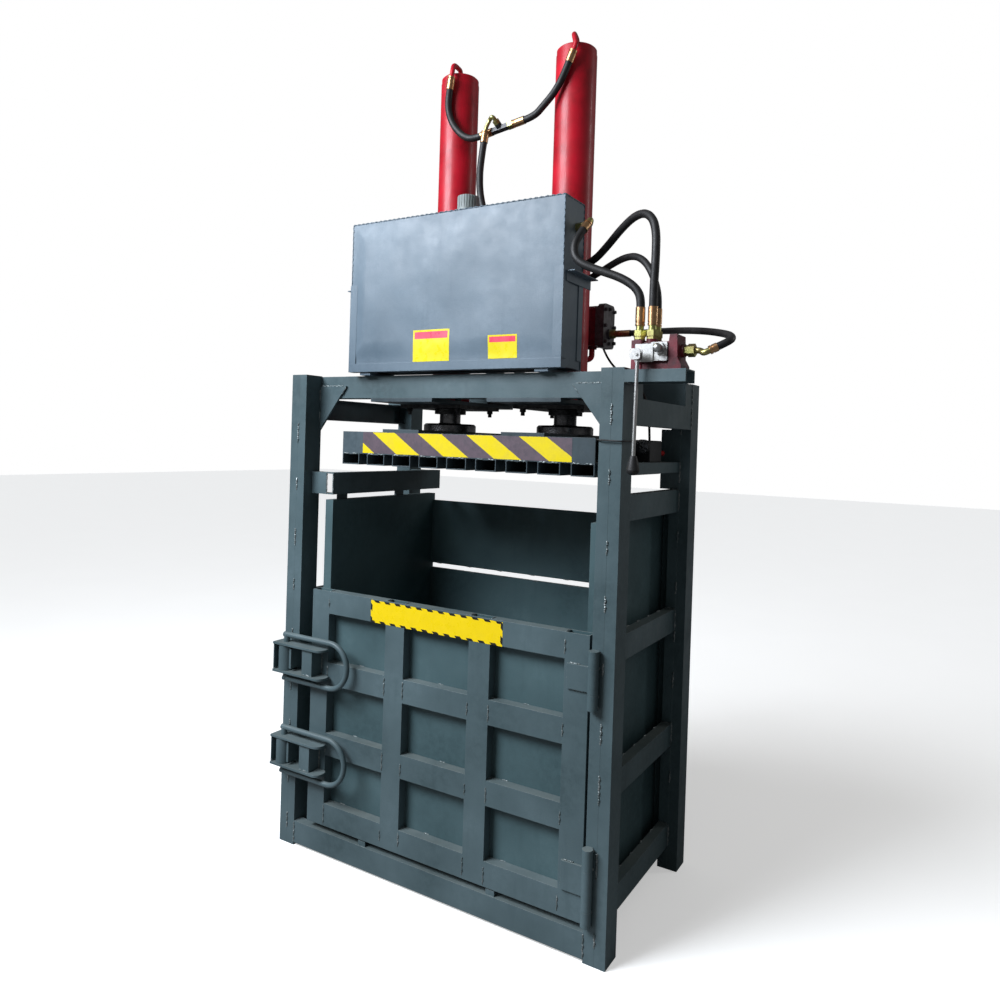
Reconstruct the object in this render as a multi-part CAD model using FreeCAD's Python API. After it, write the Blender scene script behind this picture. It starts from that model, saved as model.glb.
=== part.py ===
import FreeCAD, Part
import math
import os

# Vertical twin-cylinder recycling baler.
# Millimetres. X runs to the right, the door is at the -Y front, +Z is up.
# Lengths below are laid out from the middle of the four posts' footprint; the
# parts are moved together at the end, so that the origin of the written files
# is the middle of the whole outline, on the floor.

V = FreeCAD.Vector

# ---------------------------------------------------------------- driving sizes
frame_width = 1650.0          # over the outside of the posts, left to right
frame_depth = 890.0           # over the outside of the posts, front to back
post_height = 2175.0
channel_depth = 100.0         # web of the rolled channel used everywhere
channel_leg = 45.0            # height of its flanges
channel_wall = 5.0
running_gap = 0.3             # between faces that move past each other

beam_bottom = 2072.0          # underside of the front and rear head beams
floor_top = 120.0
plate_thickness = 8.0
floor_bearer_bottom = 12.0
bearer_count = 5

chamber_left_gap = 90.0       # between the left posts and the left wall
chamber_front_gap = 50.0      # behind the posts' front face
wall_top = 1603.0
wall_sheet = 5.0
back_fold = 18.0
back_split_low = 1203.0
back_split_high = 1229.0
back_top = 1567.0

side_rail_bottoms = (104.0, 556.0, 1071.0, 1605.0)
rear_rail_bottoms = (112.0, 556.0, 1071.0, 1420.0)
guide_rail_bottom = 1628.0
shelf_bottom = 1782.0
shelf_width = 90.0

door_bottom = 140.0
door_top = 1197.0
door_left_gap = 80.0          # from the left post to the door's edge
door_right_gap = 10.0
door_member = 100.0
door_skin_thickness = 6.0
door_columns = 3
door_rows = 3
hinge_radius = 20.0
hinge_pin_radius = 9.0
hinge_gap = 0.5               # between the door's knuckles and the post
hinge_inset = 17.0            # from the post's inner face to the hinge axis
hinge_leaf = 10.0
latch_heights = (877.0, 450.0)
latch_plate = 10.0
latch_half_gap = 58.0         # from a latch's middle to its plates' inner faces
latch_cam_radius = 35.0
latch_pin_radius = 14.0
latch_rod_radius = 12.0
latch_bow_radius = 100.0
latch_depth = 37.0            # from the post's face to the latch pin

cylinder_spacing = 618.0
cylinder_offset = 45.0        # the press line lies right of the frame's middle
cylinder_y = 40.0
barrel_radius = 90.0
bore_radius = 75.0
barrel_length = 1564.0        # from its flange to its closed top
rod_radius = 50.0
mount_plate = 16.0
flange_width = 340.0
flange_thickness = 16.0
rod_disc_radius = 125.0
rod_disc_thickness = 37.0

platen_bottom = 1770.0
platen_tube_width = 100.0
platen_tube_height = 50.0
platen_tube_count = 9
platen_tube_wall = 4.0
platen_side_gap = 11.0
platen_front = -350.0
platen_back = 370.0
platen_pad_width = 200.0
platen_pad_thickness = 14.0

tank_left = -525.0
tank_width = 1065.0
tank_front_inset = 55.0       # behind the posts' front face
tank_depth = 170.0
tank_bottom_rise = 18.0       # above the head beams
tank_height = 658.0
tank_sheet = 4.0
cradle_leg = 40.0
cradle_wall = 4.0

arm_length = 225.0
arm_top_drop = 9.0
hose_large = 15.5             # radius of the hoses to the cylinders and tank
hose_small = 13.5             # radius of the pump and rod-side hoses
ferrule_large = 17.5
ferrule_small = 15.5
nut_large = 41.0              # across flats
nut_small = 36.0
nut_length = 22.0

valve_width = 174.0
valve_depth = 100.0
valve_height = 106.0
lever_length = 423.0
lever_rod_radius = 7.0

motor_radius = 105.0
motor_left = -150.0
motor_length = 450.0
motor_shaft_height = 112.0
pump_length = 107.0
bell_length = 50.0

# ------------------------------------------------------------- derived places
half_width = frame_width / 2
half_depth = frame_depth / 2
post_width = 2 * channel_leg
post_in = half_width - post_width            # inner face of a post, in X
post_back = half_depth - channel_depth       # inner face of a post, in Y
beam_top = beam_bottom + channel_depth
chamber_left = -post_in + chamber_left_gap + channel_leg
chamber_right = post_in - channel_leg
chamber_front = -half_depth + chamber_front_gap
chamber_back = half_depth - channel_leg - back_fold
cylinder_x = (
    cylinder_offset - cylinder_spacing / 2,
    cylinder_offset + cylinder_spacing / 2,
)
flange_top = beam_bottom - mount_plate
flange_bottom = flange_top - flange_thickness
barrel_top = flange_top + barrel_length
platen_left = chamber_left + platen_side_gap
platen_right = chamber_right - platen_side_gap
platen_frame_bottom = platen_bottom + platen_tube_height
platen_top = platen_frame_bottom + channel_depth
rod_disc_top = platen_top + platen_pad_thickness + rod_disc_thickness
door_left = -post_in + door_left_gap
door_right = post_in - door_right_gap
door_front = -half_depth
door_back = door_front + channel_leg
hinge_x = post_in + hinge_inset
hinge_y = -half_depth - hinge_radius - hinge_gap
tank_right = tank_left + tank_width
tank_front = -half_depth + tank_front_inset
tank_back = tank_front + tank_depth
tank_bottom = beam_top + tank_bottom_rise
tank_top = tank_bottom + tank_height
arm_top = post_height - arm_top_drop
arm_right = half_width + arm_length
motor_axis_y = post_back - 95
motor_axis_z = beam_top + 263


# -------------------------------------------------------------------- helpers
def box(x0, x1, y0, y1, z0, z1):
    return Part.makeBox(x1 - x0, y1 - y0, z1 - z0, V(x0, y0, z0))


def rod(start, end, radius):
    """A round bar between two points."""
    along = end - start
    return Part.makeCylinder(radius, along.Length, start, along)


def tube(start, end, outer, inner):
    """A round bar with a hole right through it."""
    along = end - start
    reach = V(along).normalize()
    return rod(start, end, outer).cut(rod(start - reach, end + reach, inner))


def hexagon(start, end, across_flats):
    """A hexagonal bar between two points."""
    along = end - start
    corner = across_flats / math.sqrt(3)
    points = []
    for turn in range(7):
        angle = math.radians(60 * turn)
        points.append(V(corner * math.cos(angle), corner * math.sin(angle), 0))
    bar = Part.Face(Part.makePolygon(points)).extrude(V(0, 0, along.Length))
    bar.Placement = FreeCAD.Placement(start, FreeCAD.Rotation(V(0, 0, 1), along))
    return bar


def channel(low, high, run, opening, wall=channel_wall):
    """A rolled channel that fills a box: it runs along one axis (0, 1 or 2),
    and its open side faces along another, such as "+x"."""
    axis = "xyz".index(opening[1])
    inner_low = list(low)
    inner_high = list(high)
    for i in range(3):
        if i == run:
            inner_low[i] -= 1
            inner_high[i] += 1
        elif i == axis and opening[0] == "+":
            inner_low[i] += wall
            inner_high[i] += 1
        elif i == axis:
            inner_low[i] -= 1
            inner_high[i] -= wall
        else:
            inner_low[i] += wall
            inner_high[i] -= wall
    outer = box(low[0], high[0], low[1], high[1], low[2], high[2])
    hollow = box(
        inner_low[0], inner_high[0], inner_low[1], inner_high[1], inner_low[2], inner_high[2]
    )
    return outer.cut(hollow)


def hollow_bar(low, high, run, wall):
    """A rectangular tube that fills a box and is open at both ends."""
    inner_low = [low[i] - 1 if i == run else low[i] + wall for i in range(3)]
    inner_high = [high[i] + 1 if i == run else high[i] - wall for i in range(3)]
    outer = box(low[0], high[0], low[1], high[1], low[2], high[2])
    return outer.cut(
        box(
            inner_low[0], inner_high[0], inner_low[1], inner_high[1], inner_low[2], inner_high[2]
        )
    )


def fused(shapes):
    """Several shapes made one."""
    whole = shapes[0]
    for shape in shapes[1:]:
        whole = whole.fuse(shape)
    return whole.removeSplitter()


def bent_bar(points, radius, label=""):
    """A round bar through the points: straight runs joined by tangent arcs.
    Each arc is as large as its two runs allow."""
    edges = []
    radii = []
    place = points[0]
    for i in range(1, len(points) - 1):
        before = points[i] - points[i - 1]
        after = points[i + 1] - points[i]
        shorter = min(before.Length, after.Length)
        way_in = V(before).normalize()
        way_out = V(after).normalize()
        half_turn = way_in.getAngle(way_out) / 2
        reach = 0.45 * shorter
        bend = reach / math.tan(half_turn)
        inward = (way_out - way_in).normalize()
        centre = points[i] + inward * (bend / math.cos(half_turn))
        arc_start = points[i] - way_in * reach
        arc_end = points[i] + way_out * reach
        edges.append(Part.LineSegment(place, arc_start).toShape())
        edges.append(Part.Arc(arc_start, centre - inward * bend, arc_end).toShape())
        place = arc_end
        radii.append(bend)
    edges.append(Part.LineSegment(place, points[-1]).toShape())
    path = Part.Wire(edges)
    start = V(points[1] - points[0]).normalize()
    ring = Part.Wire([Part.Circle(points[0], start, radius).toShape()])
    bar = path.makePipeShell([ring], True, False)
    if label:
        expected = math.pi * radius**2 * path.Length
        listed = ", ".join(f"{value:.0f}" for value in radii)
        print(f"{label}: length {path.Length:.0f}, radii {listed}")
        print(f"    volume over section times length {bar.Volume / expected:.5f}")
    return bar


def vectors(rows):
    return [V(*row) for row in rows]


def laid(rows, start, end):
    """A route drawn for the sizes above, moved with its two ends: each point
    follows the start and the end by its share of the way between them."""
    points = vectors(rows)
    start_shift = start - points[0]
    end_shift = end - points[-1]
    run = [0.0]
    for before, after in zip(points, points[1:]):
        run.append(run[-1] + (after - before).Length)
    moved = []
    for point, way in zip(points, run):
        share = way / run[-1]
        moved.append(point + start_shift * (1 - share) + end_shift * share)
    return moved


# ---------------------------------------------------------------- main frame
def post(side, end):
    """Two channels toe to toe; side and end are -1 or 1."""
    middle = side * (half_width - channel_leg)
    y0, y1 = sorted((end * post_back, end * half_depth))
    left = channel((middle - channel_leg, y0, 0), (middle, y1, post_height), 2, "+x")
    right = channel((middle, y0, 0), (middle + channel_leg, y1, post_height), 2, "-x")
    return [left, right]


def cross_beams():
    """A head beam behind the front posts and one before the rear posts, each
    two channels toe to toe with a closing plate at each end."""
    pieces = []
    depth = 2 * channel_leg
    for end in (-1, 1):
        y0, y1 = sorted((end * (post_back - depth), end * post_back))
        middle = (y0 + y1) / 2
        low = -half_width
        high = half_width
        for face, start, stop in (("+y", y0, middle), ("-y", middle, y1)):
            pieces.append(
                channel((low, start, beam_bottom), (high, stop, beam_top), 0, face)
            )
        for x in (low, high - channel_wall):
            pieces.append(
                box(
                    x,
                    x + channel_wall,
                    y0 + channel_wall,
                    y1 - channel_wall,
                    beam_bottom + channel_wall,
                    beam_top - channel_wall,
                )
            )
    return pieces


def side_beams():
    """Channels on edge that tie the front and rear posts under the head beams."""
    bottom = beam_bottom - channel_depth
    pieces = []
    for side, opening in ((-1, "+x"), (1, "-x")):
        x0, x1 = sorted((side * (half_width - channel_leg), side * half_width))
        pieces.append(channel((x0, -post_back, bottom), (x1, post_back, beam_bottom), 1, opening))
    return pieces


def gusset_plates():
    """Corner plates on the front face of the front head beam."""
    thickness = 10.0
    width = 160.0
    height = 207.0
    top = beam_top - 45.0
    pieces = []
    for side in (-1, 1):
        corner = side * post_in
        points = vectors(
            [
                (corner, -post_back - thickness, top),
                (corner - side * width, -post_back - thickness, top),
                (corner, -post_back - thickness, top - height),
                (corner, -post_back - thickness, top),
            ]
        )
        plate = Part.Face(Part.makePolygon(points)).extrude(V(0, thickness, 0))
        pieces.append(plate)
    return pieces


def cylinder_mount_plates():
    """A plate under the head beams for each cylinder, bored for its barrel."""
    pieces = []
    for x in cylinder_x:
        plate = box(
            x - flange_width / 2,
            x + flange_width / 2,
            -post_back,
            post_back,
            flange_top,
            beam_bottom,
        )
        hole = rod(
            V(x, cylinder_y, flange_top - 1),
            V(x, cylinder_y, beam_bottom + 1),
            barrel_radius + running_gap,
        )
        plate = plate.cut(hole)
        for place in flange_bolt_places(x):
            plate = plate.cut(
                rod(place + V(0, 0, flange_top - 1), place + V(0, 0, beam_bottom + 1), 9.0)
            )
        pieces.append(plate)
    return pieces


def sills():
    """Channels along the floor between the front posts and between the rear."""
    pieces = []
    for end, opening in ((-1, "+y"), (1, "-y")):
        y0, y1 = sorted((end * (half_depth - channel_leg), end * half_depth))
        low = (-post_in, y0, floor_bearer_bottom)
        high = (post_in, y1, floor_bearer_bottom + channel_depth)
        pieces.append(channel(low, high, 0, opening))
    tab_top = floor_bearer_bottom + channel_depth
    for x in (-330.0, 330.0):
        pieces.append(
            box(x - 20, x + 20, -half_depth + 4, -half_depth + 10, tab_top, tab_top + 22)
        )
    return pieces


def floor_bearers():
    """Channels under the floor plate, from the front sill to the rear sill."""
    pieces = []
    top = floor_top - plate_thickness
    first = chamber_left - channel_leg + 20
    last = chamber_right - channel_leg
    step = (last - first) / (bearer_count - 1)
    reach = half_depth - channel_leg
    for i in range(bearer_count):
        x = first + i * step
        low = (x, -reach, floor_bearer_bottom)
        high = (x + channel_leg, reach, top)
        pieces.append(channel(low, high, 1, "+x"))
    return pieces


def floor_plate():
    return box(
        chamber_left - channel_leg,
        post_in,
        chamber_front + 10,
        half_depth - channel_leg,
        floor_top - plate_thickness,
        floor_top,
    )


def side_rails():
    """Channels between the front and rear posts of each side, and the short
    spacers that hold the left wall off them."""
    pieces = []
    for bottom in side_rail_bottoms:
        top = bottom + channel_depth
        pieces.append(
            channel(
                (post_in, -post_back, bottom), (post_in + channel_leg, post_back, top), 1, "-x"
            )
        )
        if bottom > guide_rail_bottom - channel_depth:
            continue
        pieces.append(
            channel(
                (-post_in - channel_leg, -post_back, bottom), (-post_in, post_back, top), 1, "+x"
            )
        )
        for y in (-post_back + 60, post_back - 60 - channel_leg):
            low = (-post_in, y, bottom + 25)
            high = (chamber_left - wall_sheet, y + channel_leg, top - 25)
            pieces.append(channel(low, high, 0, "+y"))
    return pieces


def rear_rails():
    """Channels between the rear posts, and the upright at the right above them."""
    pieces = []
    y0 = half_depth - channel_leg
    for bottom in rear_rail_bottoms:
        low = (-post_in, y0, bottom)
        high = (post_in, half_depth, bottom + channel_depth)
        pieces.append(channel(low, high, 0, "+y"))
    jamb_low = (chamber_right, post_back, side_rail_bottoms[-1] + channel_depth)
    jamb_high = (post_in, post_back + channel_leg, beam_bottom - channel_depth)
    pieces.append(channel(jamb_low, jamb_high, 2, "+y"))
    return pieces


def chamber_wall(inner_x, outward):
    """A folded side wall: a flat sheet with its edges turned outward."""
    outer_x = inner_x + outward * channel_leg
    x0, x1 = sorted((inner_x, outer_x))
    y0 = chamber_front + 3
    y1 = half_depth - channel_leg
    whole = box(x0, x1, y0, y1, floor_top, wall_top)
    h0, h1 = sorted((inner_x + outward * wall_sheet, outer_x + outward))
    hollow = box(
        h0, h1, y0 + wall_sheet, y1 - wall_sheet, floor_top + wall_sheet, wall_top - wall_sheet
    )
    return whole.cut(hollow)


def back_panels():
    """Two folded sheets with a slot between them."""
    pieces = []
    fold_back = half_depth - channel_leg
    for z0, z1 in ((floor_top, back_split_low), (back_split_high, back_top)):
        whole = box(chamber_left, chamber_right, chamber_back, fold_back, z0, z1)
        hollow = box(
            chamber_left - 1,
            chamber_right + 1,
            chamber_back + wall_sheet,
            fold_back + 1,
            z0 + wall_sheet,
            z1 - wall_sheet,
        )
        pieces.append(whole.cut(hollow))
    return pieces


def guide_rail():
    """A channel above the left wall, its two brackets and the tabs under it."""
    x0 = chamber_left - channel_leg
    top = guide_rail_bottom + channel_depth
    y_front = chamber_front
    y_back = half_depth - 5
    pieces = [
        channel((x0, y_front, guide_rail_bottom), (chamber_left, y_back, top), 1, "-x")
    ]
    for y, opening in ((chamber_front, "+y"), (-chamber_front - channel_leg, "-y")):
        low = (-post_in, y, guide_rail_bottom)
        high = (x0, y + channel_leg, top)
        pieces.append(channel(low, high, 0, opening))
    for y in (-330.0, 95.0):
        pieces.append(box(x0 + 8, x0 + 20, y, y + 60, wall_top, guide_rail_bottom))
    return pieces


def control_shelf():
    """A channel laid flat between the right posts, web up."""
    low = (post_in - channel_leg, -post_back, shelf_bottom)
    high = (post_in - channel_leg + shelf_width, post_back, shelf_bottom + channel_leg)
    return channel(low, high, 1, "-z")


# --------------------------------------------------------------------- door
def door_lines(low, high, count):
    """The left or lower edges of the door's members, evenly spaced."""
    step = (high - low - door_member) / count
    return [low + i * step for i in range(count + 1)]


def door_frame():
    """Stiles full height with the rails cut between them, all open to the back."""
    pieces = []
    stiles = door_lines(door_left, door_right, door_columns)
    rails = door_lines(door_bottom, door_top, door_rows)
    for x in stiles:
        low = (x, door_front, door_bottom)
        high = (x + door_member, door_back, door_top)
        pieces.append(channel(low, high, 2, "+y"))
    for left, right in zip(stiles, stiles[1:]):
        for z in rails:
            low = (left + door_member, door_front, z)
            high = (right, door_back, z + door_member)
            pieces.append(channel(low, high, 0, "+y"))
    return pieces


def door_skin():
    """The sheet behind the door's frame."""
    return box(
        door_left,
        door_right,
        door_back,
        door_back + door_skin_thickness,
        door_bottom,
        door_top,
    )


hinge_stacks = (
    # the post's lower knuckle, the door's knuckle, the post's upper knuckle
    ((935.0, 992.0), (992.0, 1086.0), (1086.0, 1150.0)),
    ((150.0, 207.0), (207.0, 355.0), (355.0, 432.0)),
)


def hinge_barrels():
    """The knuckles that are welded to the right front post."""
    pieces = []
    for lower, door, upper in hinge_stacks:
        for z0, z1 in (lower, upper):
            knuckle = tube(
                V(hinge_x, hinge_y, z0), V(hinge_x, hinge_y, z1), hinge_radius, hinge_pin_radius
            )
            pad = box(hinge_x - 12, hinge_x + 12, hinge_y + 15, -half_depth, z0, z1)
            pieces.append(fused([knuckle, pad]))
    return pieces


def hinge_pins():
    """A pin down each hinge, held by the post's knuckles."""
    pieces = []
    for lower, door, upper in hinge_stacks:
        pieces.append(
            rod(V(hinge_x, hinge_y, lower[0] + 5), V(hinge_x, hinge_y, upper[1]), hinge_pin_radius)
        )
    return pieces


def hinge_leaves():
    """The door's knuckles with their leaf plates on the right stile."""
    pieces = []
    for lower, door, upper in hinge_stacks:
        z0 = door[0] + running_gap
        z1 = door[1] - running_gap
        knuckle = rod(V(hinge_x, hinge_y, z0), V(hinge_x, hinge_y, z1), hinge_radius)
        leaf_low = z1 - 108 if z1 - z0 > 120 else z0
        leaf = box(door_right - 85, door_right, door_front - hinge_leaf, door_front, leaf_low, z1)
        neck = box(
            door_right - 5, hinge_x - 5, door_front - hinge_leaf, door_front - 2.5, leaf_low, z1
        )
        bore = rod(
            V(hinge_x, hinge_y, z0 - 1),
            V(hinge_x, hinge_y, z1 + 1),
            hinge_pin_radius + 0.05,
        )
        pieces.append(fused([knuckle, leaf, neck]).cut(bore))
    return pieces


latch_x = -half_width + 50.0
latch_y = -half_depth - latch_depth
latch_plate_front = latch_y - 38.0
latch_plate_back = -half_depth - 2.0
latch_plate_right = door_left + 125.0


def latch_brackets():
    """For each latch, two plates, the square bar between them that stands on
    the door's stile, and the strip that ties the plates' left ends."""
    pieces = []
    rounding = 32.0
    for middle in latch_heights:
        for side in (-1, 1):
            z0, z1 = sorted(
                (middle + side * latch_half_gap, middle + side * (latch_half_gap + latch_plate))
            )
            plate = box(
                latch_x - 50, latch_plate_right, latch_plate_front, latch_plate_back, z0, z1
            )
            edges = [
                edge
                for edge in plate.Edges
                if abs(edge.BoundBox.XMin - latch_plate_right) < 0.01
                and edge.BoundBox.ZLength > latch_plate / 2
            ]
            plate = plate.makeFillet(rounding, edges)
            hole = rod(
                V(latch_x, latch_y, z0 - 1), V(latch_x, latch_y, z1 + 1), latch_pin_radius + 0.05
            )
            pieces.append(plate.cut(hole))
        z0 = middle - latch_half_gap
        z1 = middle + latch_half_gap
        pieces.append(
            box(door_left + 5, door_left + 65, latch_y - 28, -half_depth, z0, z1)
        )
        pieces.append(
            box(latch_x - 50, latch_x - 45, latch_plate_front + 5, latch_y + 12, z0, z1)
        )
    return pieces


def latch_handle(middle):
    """A D-shaped rod on a pin that carries the round cam between the plates."""
    leg_left = latch_x - 15
    bow_x = door_left + 147.0
    upper = middle + latch_bow_radius
    lower = middle - latch_bow_radius
    legs = [
        rod(V(leg_left, latch_y, z), V(bow_x, latch_y, z), latch_rod_radius)
        for z in (upper, lower)
    ]
    ring = Part.makeTorus(
        latch_bow_radius, latch_rod_radius, V(bow_x, latch_y, middle), V(0, 1, 0)
    )
    half = box(
        bow_x,
        bow_x + 2 * latch_bow_radius,
        latch_y - 50,
        latch_y + 50,
        lower - 50,
        upper + 50,
    )
    pin = rod(V(latch_x, latch_y, lower), V(latch_x, latch_y, upper), latch_pin_radius)
    cam = rod(
        V(latch_x, latch_y, middle - latch_half_gap + running_gap),
        V(latch_x, latch_y, middle + latch_half_gap - running_gap),
        latch_cam_radius,
    )
    return fused(legs + [ring.common(half), pin, cam])


def latch_catches():
    """Lugs on the left post's inner face that the cams bear on."""
    pieces = []
    for middle in latch_heights:
        pieces.append(
            box(-post_in, -post_in + 12, -half_depth - 60, -half_depth + 45, middle - 45, middle + 45)
        )
    return pieces


# -------------------------------------------------------------------- press
def flange_bolt_places(x):
    """The four bolts of a cylinder's flange, in plan."""
    reach = flange_width / 2 - 32
    return [V(x + i * reach, cylinder_y + j * reach, 0) for i in (-1, 1) for j in (-1, 1)]


def cylinder_barrel(x):
    """A tube with a closing cap and a port boss at the top."""
    cap = 28.0
    barrel = tube(
        V(x, cylinder_y, flange_top), V(x, cylinder_y, barrel_top - cap), barrel_radius, bore_radius
    )
    top = rod(
        V(x, cylinder_y, barrel_top - cap), V(x, cylinder_y, barrel_top), barrel_radius - 2
    )
    edges = [edge for edge in top.Edges if abs(edge.BoundBox.ZMin - barrel_top) < 0.01]
    top = top.makeChamfer(5.0, edges)
    boss = rod(V(x, cylinder_y, barrel_top - 5), V(x, cylinder_y, barrel_top + 14), 24.0)
    port = rod(V(x, cylinder_y, barrel_top - cap - 1), V(x, cylinder_y, barrel_top + 15), 8.0)
    return fused([barrel, top, boss]).cut(port)


def cylinder_flanges():
    """Square flange plates, each with the gland that guides its rod."""
    pieces = []
    for x in cylinder_x:
        plate = box(
            x - flange_width / 2,
            x + flange_width / 2,
            cylinder_y - flange_width / 2,
            cylinder_y + flange_width / 2,
            flange_bottom,
            flange_top,
        )
        gland = rod(
            V(x, cylinder_y, flange_bottom - 22),
            V(x, cylinder_y, flange_top + 70),
            bore_radius - running_gap / 2,
        )
        bore = rod(
            V(x, cylinder_y, flange_bottom - 30),
            V(x, cylinder_y, flange_top + 80),
            rod_radius + 0.05,
        )
        flange = fused([plate, gland]).cut(bore)
        for place in flange_bolt_places(x):
            flange = flange.cut(
                rod(place + V(0, 0, flange_bottom - 1), place + V(0, 0, flange_top + 1), 9.0)
            )
        pieces.append(flange)
    return pieces


def flange_bolts():
    """Hex bolts up through the flanges and mounting plates, with their nuts."""
    pieces = []
    head = 14.0
    for x in cylinder_x:
        for place in flange_bolt_places(x):
            shank_low = flange_bottom - head - 16
            shank = rod(place + V(0, 0, shank_low), place + V(0, 0, beam_bottom + 16), 8.9)
            nut = hexagon(
                place + V(0, 0, flange_bottom - head), place + V(0, 0, flange_bottom), 27.0
            )
            top = hexagon(
                place + V(0, 0, beam_bottom), place + V(0, 0, beam_bottom + 12), 27.0
            )
            pieces.append(fused([shank, nut, top]))
    return pieces


def piston_rods():
    """A rod with its piston and the disc that stands on the platen."""
    pieces = []
    piston_top = barrel_top - 60
    for x in cylinder_x:
        bar = rod(
            V(x, cylinder_y, rod_disc_top - rod_disc_thickness),
            V(x, cylinder_y, piston_top),
            rod_radius,
        )
        piston = rod(
            V(x, cylinder_y, piston_top - 60),
            V(x, cylinder_y, piston_top),
            bore_radius - running_gap / 2,
        )
        disc = rod(
            V(x, cylinder_y, rod_disc_top - rod_disc_thickness),
            V(x, cylinder_y, rod_disc_top),
            rod_disc_radius,
        )
        edges = [edge for edge in disc.Edges if abs(edge.BoundBox.ZMin - rod_disc_top) < 0.01]
        disc = disc.makeChamfer(8.0, edges)
        pieces.append(fused([bar, piston, disc]))
    return pieces


def platen_frame():
    """Channels round the platen and across it under each cylinder."""
    z0 = platen_frame_bottom
    z1 = platen_top
    leg = channel_leg
    pieces = [
        channel((platen_left, platen_front, z0), (platen_right, platen_front + leg, z1), 0, "+y"),
        channel((platen_left, platen_back - leg, z0), (platen_right, platen_back, z1), 0, "-y"),
    ]
    y0 = platen_front + leg
    y1 = platen_back - leg
    pieces.append(channel((platen_left, y0, z0), (platen_left + leg, y1, z1), 1, "+x"))
    pieces.append(channel((platen_right - leg, y0, z0), (platen_right, y1, z1), 1, "-x"))
    for x in cylinder_x:
        for side, opening in ((-1, "-x"), (1, "+x")):
            x0, x1 = sorted((x + side * 30, x + side * (30 + leg)))
            pieces.append(channel((x0, y0, z0), (x1, y1, z1), 1, opening))
    return pieces


def platen_tubes():
    """The ribs under the platen, open at the front."""
    pieces = []
    pitch = (platen_right - platen_left - platen_tube_width) / (platen_tube_count - 1)
    for i in range(platen_tube_count):
        x = platen_left + i * pitch
        low = (x, platen_front, platen_bottom)
        high = (x + platen_tube_width, platen_back, platen_frame_bottom)
        pieces.append(hollow_bar(low, high, 1, platen_tube_wall))
    return pieces


def platen_pads():
    """Plates on the platen's frame under the rods' discs."""
    pieces = []
    for x in cylinder_x:
        pieces.append(
            box(
                x - platen_pad_width / 2,
                x + platen_pad_width / 2,
                platen_front + 10,
                platen_back - 10,
                platen_top,
                platen_top + platen_pad_thickness,
            )
        )
    return pieces


# --------------------------------------------------------------------- tank
filler_x = 36.0
filler_y = (tank_front + tank_back) / 2
return_y = tank_front + 108.0
return_z = tank_top - 104.0
suction_z = tank_bottom + 96.0
suction_x = 215.0
pipe_radius = 13.0


def oil_tank():
    """A welded box with a filler neck, a return port and a suction port."""
    whole = box(tank_left, tank_right, tank_front, tank_back, tank_bottom, tank_top)
    neck = rod(V(filler_x, filler_y, tank_top - 2), V(filler_x, filler_y, tank_top + 22), 36.0)
    hollow = box(
        tank_left + tank_sheet,
        tank_right - tank_sheet,
        tank_front + tank_sheet,
        tank_back - tank_sheet,
        tank_bottom + tank_sheet,
        tank_top - tank_sheet,
    )
    mouth = rod(V(filler_x, filler_y, tank_top - 10), V(filler_x, filler_y, tank_top + 30), 30.0)
    outlet = rod(
        V(tank_right - 10, return_y, return_z), V(tank_right + 5, return_y, return_z), 9.0
    )
    suction = rod(
        V(suction_x, tank_back - 10, suction_z), V(suction_x, tank_back + 5, suction_z), 10.0
    )
    return fused([whole, neck]).cut(hollow).cut(mouth).cut(outlet).cut(suction)


def filler_cap():
    """A ridged cap over the filler neck."""
    radius = 46.0
    low = tank_top + 3
    high = tank_top + 78
    cap = rod(V(filler_x, filler_y, low), V(filler_x, filler_y, high), radius)
    edges = [edge for edge in cap.Edges if abs(edge.BoundBox.ZMin - high) < 0.01]
    cap = cap.makeFillet(5.0, edges)
    cap = cap.cut(
        rod(V(filler_x, filler_y, low - 1), V(filler_x, filler_y, tank_top + 22 + running_gap), 36.3)
    )
    ridges = 24
    for i in range(ridges):
        angle = math.radians(360 / ridges * i)
        place = V(
            filler_x + (radius + 1.5) * math.cos(angle),
            filler_y + (radius + 1.5) * math.sin(angle),
            low + 22,
        )
        cap = cap.cut(rod(place, place + V(0, 0, 80), 3.5))
    return cap


def angle_bar(low, high, run, keep):
    """An equal angle that fills a box; keep gives the sign of the corner that
    stays, for each axis, with 0 along the run."""
    inner_low = list(low)
    inner_high = list(high)
    for i in range(3):
        if i == run:
            inner_low[i] -= 1
            inner_high[i] += 1
        elif keep[i] < 0:
            inner_low[i] += cradle_wall
            inner_high[i] += 1
        else:
            inner_low[i] -= 1
            inner_high[i] -= cradle_wall
    outer = box(low[0], high[0], low[1], high[1], low[2], high[2])
    return outer.cut(
        box(
            inner_low[0], inner_high[0], inner_low[1], inner_high[1], inner_low[2], inner_high[2]
        )
    )


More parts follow.
